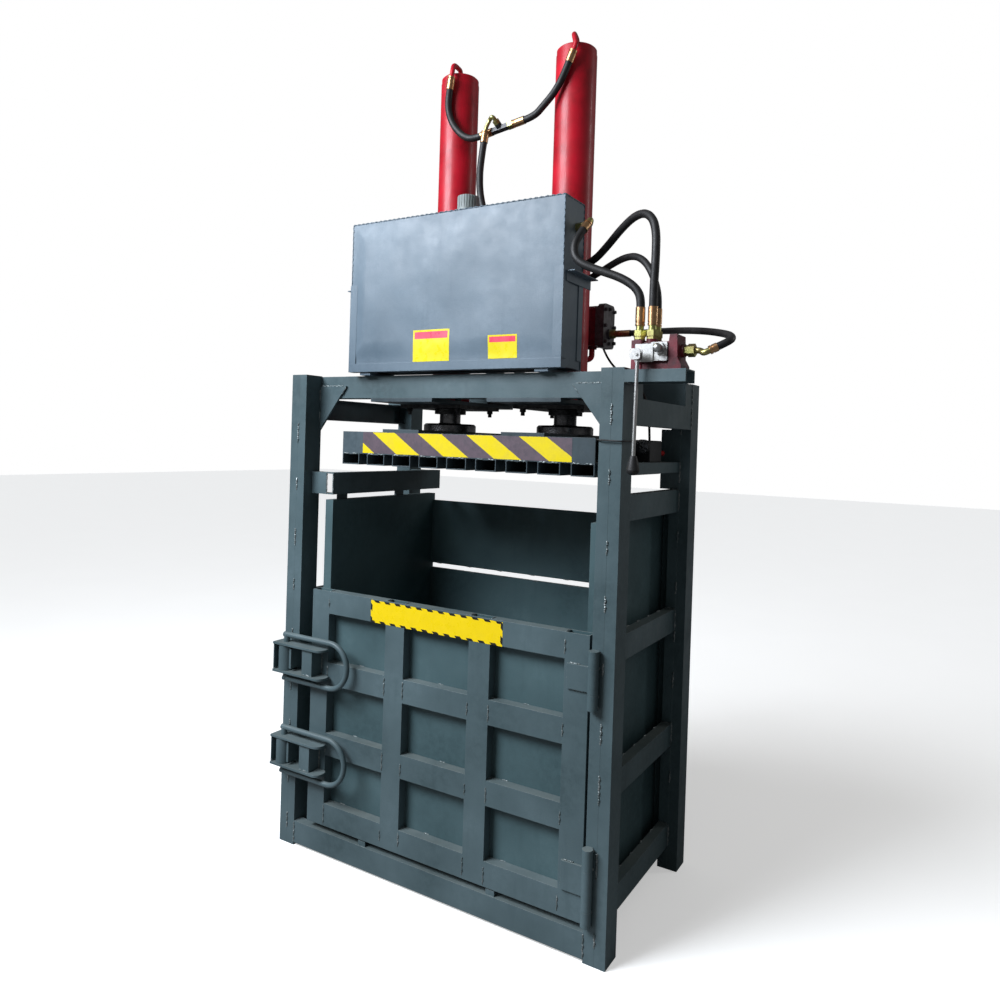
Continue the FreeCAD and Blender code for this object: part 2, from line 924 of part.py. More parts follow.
def tank_cradle():
    """Angle bars that hold the tank: a strip along each long bottom edge, an
    upright at each corner, a strap on each side and the pads on the beam."""
    wall = cradle_wall
    left = tank_left - wall
    right = tank_right + wall
    front = tank_front - wall
    back = tank_back + wall
    base = tank_bottom - wall
    leg = cradle_leg
    upright_top = tank_bottom + 385
    pieces = [
        angle_bar((left, front, base), (right, front + leg, base + leg - 3), 0, (0, -1, -1)),
        angle_bar((left, back - leg, base), (right, back, base + leg - 3), 0, (0, 1, -1)),
    ]
    for x0, x1, sx in ((left, left + leg, -1), (right - leg, right, 1)):
        for y0, y1, sy in ((front, front + leg, -1), (back - leg, back, 1)):
            pieces.append(
                angle_bar((x0, y0, base + leg - 3), (x1, y1, upright_top), 2, (sx, sy, 0))
            )
    strap_z = upright_top - 55
    for x0, x1, sx in ((left - leg + wall, left, 1), (right, right + leg - wall, -1)):
        pieces.append(
            angle_bar((x0, front + 20, strap_z), (x1, back + 60, strap_z + leg), 1, (sx, 0, 1))
        )
    for x in (left + 60, right - 120):
        pieces.append(box(x, x + 60, front + 10, -post_back + 80, beam_top, base))
    for x in (left + 60, right - 120):
        pieces.append(box(x, x + 60, -post_back + 80, back, base - 10, base))
    return pieces


# ------------------------------------------------------------ valve and lever
valve_left = half_width + 13
valve_right = valve_left + valve_width
valve_front = -half_depth + 15
valve_back = valve_front + valve_depth
valve_top = arm_top + valve_height
port_t = V(valve_left + 23, valve_front + 30, 0)
port_a = V(valve_left + 70, valve_front + 30, 0)
port_b = V(valve_left + 70, valve_front + 80, 0)
port_p = V(0, valve_front + 50, arm_top + 68)
lever_pin_x = valve_left + 48
lever_pin_y = valve_front - 49
lever_pin_z = arm_top + 48


def valve_arm():
    """A channel laid flat that stands out from the right front post."""
    low = (half_width, -half_depth, arm_top - channel_leg)
    high = (arm_right, -post_back, arm_top)
    return channel(low, high, 0, "-z")


def valve_body():
    """The casting: a base, a block, a column at the left and a flange plate at
    the right with its port boss."""
    z = arm_top
    base = box(valve_left + 22, valve_right + 8, valve_front + 8, valve_back, z, z + 20)
    block = box(
        valve_left + 20, valve_right - 30, valve_front + 14, valve_back + 4, z + 18, valve_top - 6
    )
    block = block.makeFillet(5.0, block.Edges)
    column = box(valve_left, valve_left + 46, valve_front + 4, valve_back, z, valve_top)
    upright = [edge for edge in column.Edges if edge.BoundBox.ZLength > 20]
    column = column.makeFillet(9.0, upright)
    points = vectors(
        [
            (valve_right - 34, valve_front + 4, z),
            (valve_right + 14, valve_front + 4, z),
            (valve_right + 14, valve_front + 4, z + 14),
            (valve_right, valve_front + 4, z + 40),
            (valve_right - 3, valve_front + 4, valve_top + 16),
            (valve_right - 30, valve_front + 4, valve_top + 16),
            (valve_right - 34, valve_front + 4, z + 90),
            (valve_right - 34, valve_front + 4, z),
        ]
    )
    flange = Part.Face(Part.makePolygon(points)).extrude(V(0, 92, 0))
    boss = rod(V(valve_right - 10, port_p.y, port_p.z), V(valve_right + 12, port_p.y, port_p.z), 24)
    bosses = [
        rod(V(p.x, p.y, valve_top - 12), V(p.x, p.y, valve_top + 4), 20.0)
        for p in (port_t, port_a, port_b)
    ]
    return fused([base, block, column, flange, boss] + bosses)


bonnet_left = valve_left + 78.0
bonnet_right = bonnet_left + 60.0


def valve_bonnet():
    """The bright plate on the valve's front, with the spool's ball-ended bolt,
    the hex behind it and the two cheeks that carry the lever's pin."""
    front = valve_front + 14
    plate = box(bonnet_left, bonnet_right, front - 16, front, arm_top + 30, arm_top + 96)
    plate = plate.makeFillet(3.0, [e for e in plate.Edges if e.BoundBox.YLength > 10])
    middle = V(bonnet_left + 34, front - 16, arm_top + 72)
    nut = hexagon(middle, middle + V(0, -14, 0), 38.0)
    neck = rod(middle + V(0, -12, 0), middle + V(0, -26, 0), 11.0)
    ball = Part.makeSphere(16.0, middle + V(0, -28, 0))
    foot = box(
        lever_pin_x - 26, bonnet_left + 10, front - 22, front - 10, arm_top + 26, arm_top + 90
    )
    cheeks = []
    for y in (lever_pin_y - 13, lever_pin_y + 8):
        cheek = box(
            lever_pin_x - 24, lever_pin_x + 14, y, y + 5, lever_pin_z - 18, lever_pin_z + 20
        )
        cheek = cheek.makeFillet(9.0, [e for e in cheek.Edges if e.BoundBox.YLength > 4])
        cheeks.append(cheek)
    bridge = box(
        lever_pin_x - 24,
        lever_pin_x - 19,
        lever_pin_y - 13,
        front - 20,
        lever_pin_z - 11,
        lever_pin_z + 13,
    )
    pin = rod(
        V(lever_pin_x, lever_pin_y - 18, lever_pin_z), V(lever_pin_x, lever_pin_y + 16, lever_pin_z), 5.0
    )
    return fused([plate, nut, neck, ball, foot, bridge, pin] + cheeks)


grip_length = 66.0


def lever_low():
    return lever_pin_z - lever_length + grip_length - 6


def control_lever():
    """The lever's eye on its pin and the round rod that hangs from it."""
    eye = rod(
        V(lever_pin_x, lever_pin_y - 7.7, lever_pin_z),
        V(lever_pin_x, lever_pin_y + 7.7, lever_pin_z),
        12.0,
    )
    bar = rod(
        V(lever_pin_x, lever_pin_y, lever_pin_z - 8),
        V(lever_pin_x - 4, lever_pin_y, lever_low() - 20),
        lever_rod_radius,
    )
    bore = rod(
        V(lever_pin_x, lever_pin_y - 10, lever_pin_z),
        V(lever_pin_x, lever_pin_y + 10, lever_pin_z),
        5.05,
    )
    return fused([eye, bar]).cut(bore)


def lever_grip():
    """A pear-shaped grip turned round the end of the rod."""
    x = lever_pin_x - 3.5
    top = lever_low() + 8
    low = top - grip_length
    edges = [
        Part.LineSegment(V(0, 0, low), V(10, 0, low)).toShape(),
        Part.Arc(V(10, 0, low), V(21, 0, low + 8), V(22.5, 0, low + 20)).toShape(),
        Part.Arc(V(22.5, 0, low + 20), V(18, 0, low + 44), V(12, 0, top)).toShape(),
        Part.LineSegment(V(12, 0, top), V(0, 0, top)).toShape(),
        Part.LineSegment(V(0, 0, top), V(0, 0, low)).toShape(),
    ]
    grip = Part.Face(Part.Wire(edges)).revolve(V(0, 0, 0), V(0, 0, 1), 360)
    grip.translate(V(x, lever_pin_y, 0))
    return grip.cut(control_lever())


# ------------------------------------------------------------- motor and pump
def motor():
    """A finned casing with end shields, feet and a terminal box."""
    y = motor_axis_y
    z = motor_axis_z
    x0 = motor_left
    x1 = motor_left + motor_length
    core = rod(V(x0 + 60, y, z), V(x1, y, z), motor_radius - 10)
    cowl = rod(V(x0, y, z), V(x0 + 80, y, z), motor_radius)
    shield = rod(V(x1 - 30, y, z), V(x1, y, z), motor_radius)
    pieces = [core, cowl, shield]
    fin_count = 28
    for i in range(fin_count):
        angle = math.radians(360 / fin_count * (i + 0.5))
        fin = box(x0 + 80, x1 - 30, -1.5, 1.5, motor_radius - 14, motor_radius)
        fin.rotate(V(0, 0, 0), V(1, 0, 0), math.degrees(angle))
        fin.translate(V(0, y, z))
        pieces.append(fin)
    for x in (x0 + 110, x1 - 120):
        pieces.append(box(x, x + 50, y - 85, y + 85, z - motor_shaft_height, z - 70))
    pieces.append(box(x1 - 230, x1 - 110, y + 20, y + 110, z + 70, z + 140))
    casing = fused(pieces)
    fan_space = rod(V(x0 + 4, y, z), V(x0 + 66, y, z), motor_radius - 6)
    rotor_space = rod(V(x0 + 120, y, z), V(x1 - 90, y, z), 66.0)
    shaft_space = rod(V(x0 + 60, y, z), V(x1 + 1, y, z), 14.05)
    casing = casing.cut(fan_space).cut(rotor_space).cut(shaft_space)
    for ring in range(2, 9):
        slots = 6 * ring
        for i in range(slots):
            if ring % 2:
                continue
            angle = math.radians(360 / slots * i)
            place = V(x0 - 1, y + 10 * ring * math.cos(angle), z + 10 * ring * math.sin(angle))
            casing = casing.cut(rod(place, place + V(8, 0, 0), 3.5))
    return casing


def motor_shaft():
    """The shaft with its rotor and its cooling fan."""
    y = motor_axis_y
    z = motor_axis_z
    x0 = motor_left
    x1 = motor_left + motor_length
    shaft = rod(V(x0 + 12, y, z), V(x1 + bell_length - 12, y, z), 14.0)
    rotor = rod(V(x0 + 124, y, z), V(x1 - 94, y, z), 65.0)
    hub = rod(V(x0 + 16, y, z), V(x0 + 52, y, z), 30.0)
    coupling = rod(V(x1 + 8, y, z), V(x1 + bell_length - 10, y, z), 32.0)
    pieces = [shaft, rotor, hub, coupling]
    for i in range(7):
        blade = box(x0 + 18, x0 + 50, -2, 2, 26, motor_radius - 16)
        blade.rotate(V(0, 0, 0), V(1, 0, 0), 360 / 7 * i)
        blade.translate(V(0, y, z))
        pieces.append(blade)
    return fused(pieces)


def bell_housing():
    """The open ring between the motor and the pump."""
    x0 = motor_left + motor_length
    x1 = x0 + bell_length
    y = motor_axis_y
    z = motor_axis_z
    ring = tube(V(x0, y, z), V(x1, y, z), 84.0, 70.0)
    end = rod(V(x1 - 8, y, z), V(x1, y, z), 84.0)
    window = box(x0 + 8, x1 - 14, y - 30, y + 30, z - 90, z + 90)
    return fused([ring, end]).cut(window)


def pump():
    """A gear pump: body, end cover, cover bolts and outlet boss."""
    x0 = motor_left + motor_length + bell_length
    x1 = x0 + pump_length
    y = motor_axis_y
    z = motor_axis_z
    half = 62.0
    body = box(x0, x1 - 30, y - half, y + half, z - 90, z + 90)
    body = body.makeFillet(18.0, [e for e in body.Edges if e.BoundBox.XLength > 20])
    cover = box(x1 - 30, x1, y - half, y + half, z - 100, z + 100)
    cover = cover.makeFillet(24.0, [e for e in cover.Edges if e.BoundBox.XLength > 20])
    bolts = []
    for j, k in ((-1, -0.82), (1, -0.82), (-1, 0.82), (1, 0.82), (-1, 0), (1, 0), (0, 0.9), (0, -0.9)):
        place = V(x1 - 1, y + j * (half - 14), z + k * 88)
        head = rod(place, place + V(13, 0, 0), 8.0)
        bolts.append(head.cut(hexagon(place + V(6, 0, 0), place + V(14, 0, 0), 7.5)))
    boss = rod(V(x1 - 5, y, z - 35), V(x1 + 10, y, z - 35), 24.0)
    inlet = rod(V(x0 + 25, y, z - 101), V(x0 + 25, y, z - 80), 22.0)
    return fused([body, cover, boss, inlet] + bolts)


def motor_stand():
    """A plate under the motor's feet on two uprights from the rear beam."""
    top = motor_axis_z - motor_shaft_height
    plate = 10.0
    x0 = motor_left + 90
    x1 = motor_left + motor_length - 50
    y0 = motor_axis_y - 92
    y1 = motor_axis_y + 92
    pieces = [box(x0, x1, y0, y1, top - plate, top)]
    for x in (x0 + 20, x1 - 30):
        pieces.append(
            box(x, x + plate, post_back - 2 * channel_leg, post_back, beam_top, top - plate)
        )
    return fused(pieces)


# ----------------------------------------------------------- hoses and fittings
ferrule_length = 58.0
tee_axis = V(0.985, 0.02, 0.15).normalize()
tee_middle = V(cylinder_offset - 9, cylinder_y - 103, barrel_top - 319)
tee_left = tee_middle - tee_axis * 43
tee_right = tee_middle + tee_axis * 43
left_tee_ferrule = tee_left - tee_axis * ferrule_length
right_tee_nut = tee_right + tee_axis * nut_length
right_tee_ferrule = right_tee_nut + tee_axis * ferrule_length
valve_nut_low = valve_top + 14
valve_nut_high = valve_nut_low + nut_length + 18
valve_ferrule_top = valve_nut_high + 66
pump_outlet = V(
    motor_left + motor_length + bell_length + pump_length + 10, motor_axis_y, motor_axis_z - 35
)
pump_ferrule_end = pump_outlet + V(nut_length + ferrule_length + 15, 0, 0)
branch_axis = V(-0.25, -0.72, 0.65).normalize()
branch_end = tee_middle + branch_axis * 27
lower_tee = V(cylinder_offset, cylinder_y, beam_top + 18)
lower_tee_port = lower_tee - V(0, 34, 0)
lower_ferrule_end = lower_tee_port - V(0, 20 + 44, 0)

hose_left_route = laid(
    [
        (-246, -71, 3530),
        (-252, -71, 3488),
        (-251, -71, 3443),
        (-240, -70, 3398),
        (-217, -69, 3355),
        (-184, -68, 3317),
        (-149, -67, 3291),
        (-106.8, -65.9, 3279.3),
        (-63.5, -65.0, 3285.9),
    ],
    V(cylinder_x[0] + 18, cylinder_y - 111, barrel_top - 90),
    left_tee_ferrule,
)
hose_right_route = laid(
    [
        (373, -71, 3522),
        (353, -71, 3478),
        (330, -71, 3436),
        (297, -70, 3396),
        (255, -67, 3362),
        (206.4, -59.5, 3327.0),
        (157.1, -60.5, 3319.5),
    ],
    V(cylinder_x[1] + 19, cylinder_y - 111, barrel_top - 98),
    right_tee_ferrule,
)
hose_supply_route = laid(
    [
        (-26, -104, 3234),
        (-33, -110, 3160),
        (-34, -118, 3080),
        (-20, -130, 2994),
        (10, -139, 2906),
        (56, -142, 2820),
        (118, -142, 2744),
        (196, -141, 2682),
        (290, -140, 2642),
        (386, -139, 2620),
        (476, -142, 2618),
        (560, -156, 2640),
        (636, -196, 2684),
        (710, -248, 2726),
        (782, -298, 2754),
        (842, -338, 2752),
        (886, -369, 2716),
        (906, -388, 2660),
        (911, -398, 2596),
        (911, -401, 2530),
        (908, -400, 2462),
        (908, -400, 2392),
    ],
    tee_middle + V(-62, -41, -67),
    V(port_a.x, port_a.y, valve_ferrule_top),
)
hose_return_route = laid(
    [
        (600, -352, 2712),
        (593, -382, 2678),
        (588, -403, 2638),
        (598, -412, 2596),
        (630, -412, 2566),
        (676, -408, 2546),
        (724, -404, 2528),
        (770, -401, 2510),
        (810, -400, 2488),
        (842, -400, 2462),
        (861, -400, 2428),
        (861, -400, 2392),
    ],
    V(tank_right + 60, return_y - 70, return_z - 32),
    V(port_t.x, port_t.y, valve_ferrule_top),
)
hose_rod_side_route = laid(
    [
        (45, -58, 2190),
        (45, -98, 2190),
        (51, -135, 2204),
        (64, -159, 2238),
        (86, -166, 2284),
        (116, -160, 2332),
        (162, -142, 2392),
        (224, -122, 2444),
        (302, -106, 2490),
        (392, -98, 2530),
        (478, -102, 2564),
        (562, -126, 2592),
        (642, -170, 2613),
        (716, -220, 2623),
        (782, -268, 2614),
        (834, -306, 2582),
        (872, -332, 2534),
        (896, -346, 2482),
        (908, -350, 2434),
        (908, -350, 2392),
    ],
    lower_ferrule_end,
    V(port_b.x, port_b.y, valve_ferrule_top),
)
hose_pressure_route = laid(
    [
        (552, 250, 2400),
        (622, 250, 2400),
        (690, 206, 2396),
        (764, 128, 2384),
        (840, 40, 2370),
        (916, -48, 2355),
        (990, -126, 2340),
        (1052, -186, 2326),
        (1104, -236, 2312),
        (1146, -280, 2298),
        (1170, -318, 2284),
        (1176, -352, 2270),
        (1162, -376, 2256),
        (1138, -386, 2243),
    ],
    pump_ferrule_end,
    V(valve_right + 126, port_p.y - 6, port_p.z + 9),
)


def before_start(route, distance):
    """The point that lies a distance before a route's start, in line with it."""
    return route[0] - V(route[1] - route[0]).normalize() * distance


def past_end(route, distance):
    """The point that lies a distance past a route's end, in line with it."""
    return route[-1] + V(route[-1] - route[-2]).normalize() * distance


left_elbow_end = before_start(hose_left_route, ferrule_length)
right_elbow_end = before_start(hose_right_route, 50.0)
banjo_end = before_start(hose_supply_route, 52.0)
return_elbow_end = before_start(hose_return_route, 44.0)
pressure_elbow = past_end(hose_pressure_route, 28.0)


def hose_ferrules():
    """The crimped sleeves at the hoses' ends."""
    ends = [
        (left_elbow_end, hose_left_route[0], ferrule_large),
        (right_elbow_end, hose_right_route[0], ferrule_large),
        (tee_left, left_tee_ferrule, ferrule_large),
        (right_tee_nut, right_tee_ferrule, ferrule_large),
        (banjo_end, hose_supply_route[0], ferrule_large),
        (return_elbow_end, hose_return_route[0], ferrule_large),
        (pump_outlet + V(nut_length, 0, 0), pump_ferrule_end, ferrule_small),
        (pressure_elbow, hose_pressure_route[-1], ferrule_small),
        (lower_tee_port - V(0, 20, 0), lower_ferrule_end, ferrule_small),
    ]
    for port, radius in ((port_t, ferrule_large), (port_a, ferrule_large), (port_b, ferrule_small)):
        ends.append(
            (V(port.x, port.y, valve_nut_high), V(port.x, port.y, valve_ferrule_top), radius)
        )
    pieces = []
    for start, end, radius in ends:
        sleeve = rod(start, end, radius)
        way = V(end - start).normalize()
        groove = tube(start + way * 8, start + way * 12, radius + 3, radius - 2.5)
        pieces.append(sleeve.cut(groove))
    return pieces


def port_fittings():
    """The hex nuts and adaptors at the valve, the tees, the tank and the pump."""
    pieces = []
    for port in (port_t, port_a, port_b):
        size = nut_large if port is not port_b else nut_small
        adaptor_low = V(port.x, port.y, valve_top + 4)
        nut_low = V(port.x, port.y, valve_nut_low)
        nut_top = V(port.x, port.y, valve_nut_low + nut_length)
        neck_top = V(port.x, port.y, valve_nut_high)
        adaptor = hexagon(adaptor_low, nut_low, size - 5)
        nut = hexagon(nut_low, nut_top, size)
        neck = rod(nut_top, neck_top, 14.0)
        pieces.append(fused([adaptor, nut, neck]))
    start = V(valve_right + 12, port_p.y, port_p.z)
    adaptor_end = start + V(12, 0, 0)
    nut_end = adaptor_end + V(24, 0, 0)
    curve = [
        nut_end - V(10, 0, 0),
        nut_end + V(18, 0, -1),
        past_end(hose_pressure_route, 28.0 + 22.0),
        pressure_elbow,
    ]
    pieces.append(
        fused(
            [
                hexagon(start, adaptor_end, 34.0),
                hexagon(adaptor_end, nut_end, nut_large),
                bent_bar(curve, 11.0),
            ]
        )
    )
    pieces.append(hexagon(tee_right, right_tee_nut, nut_small))
    pieces.append(hexagon(pump_outlet, pump_outlet + V(nut_length, 0, 0), nut_small))
    pieces.append(hexagon(lower_tee_port, lower_tee_port - V(0, 20, 0), nut_small))
    tank_port = V(tank_right, return_y, return_z)
    nut = hexagon(tank_port, tank_port + V(24, 0, 0), 34.0)
    curve = [
        tank_port + V(20, 0, 0),
        tank_port + V(54, -2, 0),
        before_start(hose_return_route, 44.0 + 24.0),
        return_elbow_end,
    ]
    pieces.append(fused([nut, bent_bar(curve, 12.0)]))
    collar = hexagon(branch_end, branch_end + branch_axis * 16, 30.0)
    curve = [
        branch_end + branch_axis * 12,
        branch_end + branch_axis * 40,
        before_start(hose_supply_route, 52.0 + 44.0) + V(14, 0, 6),
        before_start(hose_supply_route, 52.0 + 18.0),
        banjo_end,
    ]
    pieces.append(fused([collar, bent_bar(curve, 9.0)]))
    return pieces


def tee_blocks():
    """The tee that joins the cylinders' tops and the one at their rod ends."""
    upper = fused(
        [
            hexagon(tee_left, tee_right, 32.0),
            hexagon(tee_middle, branch_end, 30.0),
        ]
    )
    lower = fused(
        [
            hexagon(lower_tee - V(26, 0, 0), lower_tee + V(26, 0, 0), 34.0),
            hexagon(lower_tee, lower_tee_port, 34.0),
        ]
    )
    return [upper, lower]


def cylinder_pipes():
    """The bent pipes from the barrels' caps, the pipe between their rod ends
    and the suction pipe from the tank to the pump."""
    pieces = []
    routes = ((hose_left_route, ferrule_length), (hose_right_route, 50.0))
    for x, (route, ferrule) in zip(cylinder_x, routes):
        end = before_start(route, ferrule)
        start = V(x, cylinder_y, barrel_top + 14)
        rise = V(x, cylinder_y, barrel_top + 48)
        over = V((x + end.x) / 2, -38, barrel_top + 44)
        drop = before_start(route, ferrule + 26.0)
        pieces.append(bent_bar([start, rise, over, drop, end], pipe_radius - 2))
    reach = barrel_radius - 4
    for side, x in ((1, cylinder_x[0]), (-1, cylinder_x[1])):
        port = rod(
            V(x + side * reach, cylinder_y, lower_tee.z),
            V(cylinder_offset - side * 26, cylinder_y, lower_tee.z),
            pipe_radius - 2,
        )
        barrel = rod(V(x, cylinder_y, 0), V(x, cylinder_y, post_height * 2), barrel_radius)
        pieces.append(port.cut(barrel))
    inlet = V(motor_left + motor_length + bell_length + 25, motor_axis_y, motor_axis_z - 101)
    pieces.append(
        bent_bar(
            [
                inlet,
                V(inlet.x, inlet.y, suction_z),
                V(suction_x, 150, suction_z),
                V(suction_x, tank_back, suction_z),
            ],
            pipe_radius,
        )
    )
    return pieces


# ------------------------------------------------------------------- controls
control_x = post_in - channel_leg
control_y = 58.0
control_width = 54.0
control_length = 142.0
control_height = 90.0
shelf_top = shelf_bottom + channel_leg
selector_z = shelf_top + 38.0
selector_x = control_x + control_width / 2


def control_box():
    """A plain box on the shelf with a ribbed round connector on its front."""
    case = box(
        control_x,
        control_x + control_width,
        control_y,
        control_y + control_length,
        shelf_top,
        shelf_top + control_height,
    )
    case = case.makeFillet(4.0, case.Edges)
    socket = rod(
        V(selector_x, control_y + control_length - 24, selector_z),
        V(selector_x, control_y + control_length + 1, selector_z),
        6.0 + 0.05,
    )
    case = case.cut(socket)
    centre = V(selector_x, control_y, shelf_top + 66)
    disc = rod(centre + V(0, 2, 0), centre + V(0, -32, 0), 29.0)
    for i in range(4):
        low = centre + V(0, -5 - 7 * i, 0)
        disc = disc.cut(tube(low, low + V(0, -3, 0), 35.0, 26.0))
    return [fused([case, disc])]


def selector_lever():
    """A round push stem in the box's rear with a ball on its end."""
    start = V(selector_x, control_y + control_length - 14, selector_z)
    end = V(selector_x, control_y + control_length + 74, selector_z)
    return fused([rod(start, end, 6.0), Part.makeSphere(12.0, end + V(0, 6, 0))])


motor_cable_route = laid(
    [
        (190, 330, 2545),
        (234, 330, 2545),
        (278, 348, 2530),
        (316, 366, 2490),
        (350, 370, 2424),
        (388, 352, 2344),
        (434, 322, 2284),
        (494, 284, 2234),
        (560, 242, 2196),
        (624, 200, 2162),
        (672, 162, 2116),
        (700, 134, 2060),
        (714, 120, 1992),
        (718, 118, 1917),
    ],
    V(motor_left + 340, motor_axis_y + 80, motor_axis_z + 110),
    V(selector_x + 1, control_y + 60, shelf_top + control_height),
)
wire_radius = 3.0
signal_wire_route = laid(
    [
        (717, 26, 1893),
        (724, -14, 1897),
        (752, -84, 1905),
        (792, -164, 1911),
        (828, -250, 1914),
        (838, -345, 1912),
    ],
    V(selector_x, control_y - 32, shelf_top + 66),
    V(half_width + 13, -post_back, shelf_top + 85),
) + [
    V(half_width + 12, -half_depth + 5, shelf_top + 83),
    V(half_width - 2, -half_depth - 11, shelf_top + 82),
    V(half_width - post_width / 2, -half_depth - 10, shelf_top + 84),
    V(post_in + 4, -half_depth - 11, shelf_top + 85),
    V(post_in - 11, -half_depth + 2, shelf_top + 86),
    V(post_in - 10, -half_depth + 25, shelf_top + 86),
    V(post_in - 5, -half_depth + 49, shelf_top + 86),
]


# ------------------------------------------------------------------ the parts
def parts():
    made = {
        "post_front_left": post(-1, -1),
        "post_front_right": post(1, -1),
        "post_rear_left": post(-1, 1),
        "post_rear_right": post(1, 1),
        "cross_beams": cross_beams(),
        "side_beams": side_beams(),
        "gusset_plates": gusset_plates(),
        "cylinder_mount_plates": cylinder_mount_plates(),
        "base_channels": sills() + floor_bearers(),
        "floor_plate": floor_plate(),
        "side_rails": side_rails(),
        "rear_rails": rear_rails(),
        "wall_left": chamber_wall(chamber_left, -1),
        "wall_right": chamber_wall(chamber_right, 1),
        "back_panels": back_panels(),
        "guide_rail": guide_rail(),
        "control_shelf": control_shelf(),
        "door_frame": door_frame(),
        "door_skin": door_skin(),
        "hinge_barrels": hinge_barrels() + hinge_pins(),
        "hinge_leaves": hinge_leaves(),
        "latch_brackets": latch_brackets(),
        "latch_handle_upper": latch_handle(latch_heights[0]),
        "latch_handle_lower": latch_handle(latch_heights[1]),
        "latch_catches": latch_catches(),
        "cylinder_barrel_left": cylinder_barrel(cylinder_x[0]),
        "cylinder_barrel_right": cylinder_barrel(cylinder_x[1]),
        "cylinder_flanges": cylinder_flanges(),
        "flange_bolts": flange_bolts(),
        "piston_rods": piston_rods(),
        "platen_frame": platen_frame(),
        "platen_tubes": platen_tubes(),
        "platen_pads": platen_pads(),
        "oil_tank": oil_tank(),
        "filler_cap": filler_cap(),
        "tank_cradle": tank_cradle(),
        "valve_arm": valve_arm(),
        "valve_body": valve_body(),
        "valve_bonnet": valve_bonnet(),
        "control_lever": control_lever(),
        "lever_grip": lever_grip(),
        "motor": motor(),
        "motor_shaft": motor_shaft(),
        "bell_housing": bell_housing(),
        "pump": pump(),
        "motor_stand": motor_stand(),
        "cylinder_pipes": cylinder_pipes(),
        "tee_blocks": tee_blocks(),
        "port_fittings": port_fittings(),
        "hose_ferrules": hose_ferrules(),
        "control_box": control_box(),
        "selector_lever": selector_lever(),
    }
    cords = {
        "hose_left_cylinder": (hose_left_route, hose_large),
        "hose_right_cylinder": (hose_right_route, hose_large),
        "hose_supply": (hose_supply_route, hose_large),
        "hose_tank_return": (hose_return_route, hose_large),
        "hose_rod_side": (hose_rod_side_route, hose_small),
        "hose_pressure": (hose_pressure_route, hose_small),
        "motor_cable": (motor_cable_route, 5.0),
        "signal_wire": (signal_wire_route, wire_radius),
    }
    for name, (route, radius) in cords.items():
        made[name] = bent_bar(route, radius, name)
    return made, cords


def outline_middle(made, cords):
    """The middle of the outline of everything but the cords, in plan."""
    low = V(1e9, 1e9, 0)
    high = V(-1e9, -1e9, 0)
    for name, shape in made.items():
        if name in cords:
            continue
        bounds = shape.BoundBox
        low = V(min(low.x, bounds.XMin), min(low.y, bounds.YMin), 0)
        high = V(max(high.x, bounds.XMax), max(high.y, bounds.YMax), 0)
    return (low + high) * 0.5


def main():
    os.makedirs("parts", exist_ok=True)
    made, cords = parts()
    for name, shape in made.items():
        if isinstance(shape, list):
            made[name] = Part.makeCompound(shape)
    middle = outline_middle(made, cords)
    print(f"moved by {-middle.x:.3f}, {-middle.y:.3f}")
    for name, shape in made.items():
        shape.translate(V(-middle.x, -middle.y, 0))
        shape.exportStep(f"parts/{name}.step")


main()
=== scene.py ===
import math
import random
import bpy
from mathutils import Matrix, Vector, noise


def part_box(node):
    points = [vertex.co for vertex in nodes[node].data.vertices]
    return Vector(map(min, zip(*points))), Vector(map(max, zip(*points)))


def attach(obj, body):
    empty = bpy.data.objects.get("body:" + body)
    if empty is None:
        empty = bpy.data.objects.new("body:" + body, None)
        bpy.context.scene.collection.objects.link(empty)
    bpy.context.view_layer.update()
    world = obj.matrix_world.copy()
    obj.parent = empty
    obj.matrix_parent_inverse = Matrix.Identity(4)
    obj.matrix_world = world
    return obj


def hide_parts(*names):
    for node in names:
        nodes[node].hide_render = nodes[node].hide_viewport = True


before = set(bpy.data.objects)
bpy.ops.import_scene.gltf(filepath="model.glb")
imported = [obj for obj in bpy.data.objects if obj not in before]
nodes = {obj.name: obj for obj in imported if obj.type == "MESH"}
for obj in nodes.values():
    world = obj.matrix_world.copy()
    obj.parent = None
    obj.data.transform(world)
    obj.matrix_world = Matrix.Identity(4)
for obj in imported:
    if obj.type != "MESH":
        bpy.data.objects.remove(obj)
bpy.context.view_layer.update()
scene = bpy.context.scene
scene.view_settings.view_transform = "Standard"
random.seed(7)

MM = 0.001
front_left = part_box("post_front_left")
rear_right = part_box("post_rear_right")
MIDDLE = Vector((
    (front_left[0].x + rear_right[1].x) / 2,
    (front_left[0].y + rear_right[1].y) / 2,
    0,
))


def place(x, y, z):
    """Millimetres from the middle of the posts' footprint to metres."""
    return Vector((x, y, z)) * MM + MIDDLE


def new_object(name, data, body):
    obj = bpy.data.objects.new(name, data)
    scene.collection.objects.link(obj)
    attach(obj, body)
    return obj


def smooth_piece(name, body, vertices, faces, material):
    """A smooth-shaded mesh piece that rides on a body."""
    mesh = bpy.data.meshes.new(name)
    mesh.from_pydata([tuple(v) for v in vertices], [], faces)
    mesh.materials.append(material)
    for face in mesh.polygons:
        face.use_smooth = True
    return new_object(name, mesh, body)


def grid_faces(columns, rows):
    """Quads between points that are laid out row by row."""
    corners = [j * (columns + 1) + i for j in range(rows) for i in range(columns)]
    return [(a, a + 1, a + columns + 2, a + columns + 1) for a in corners]


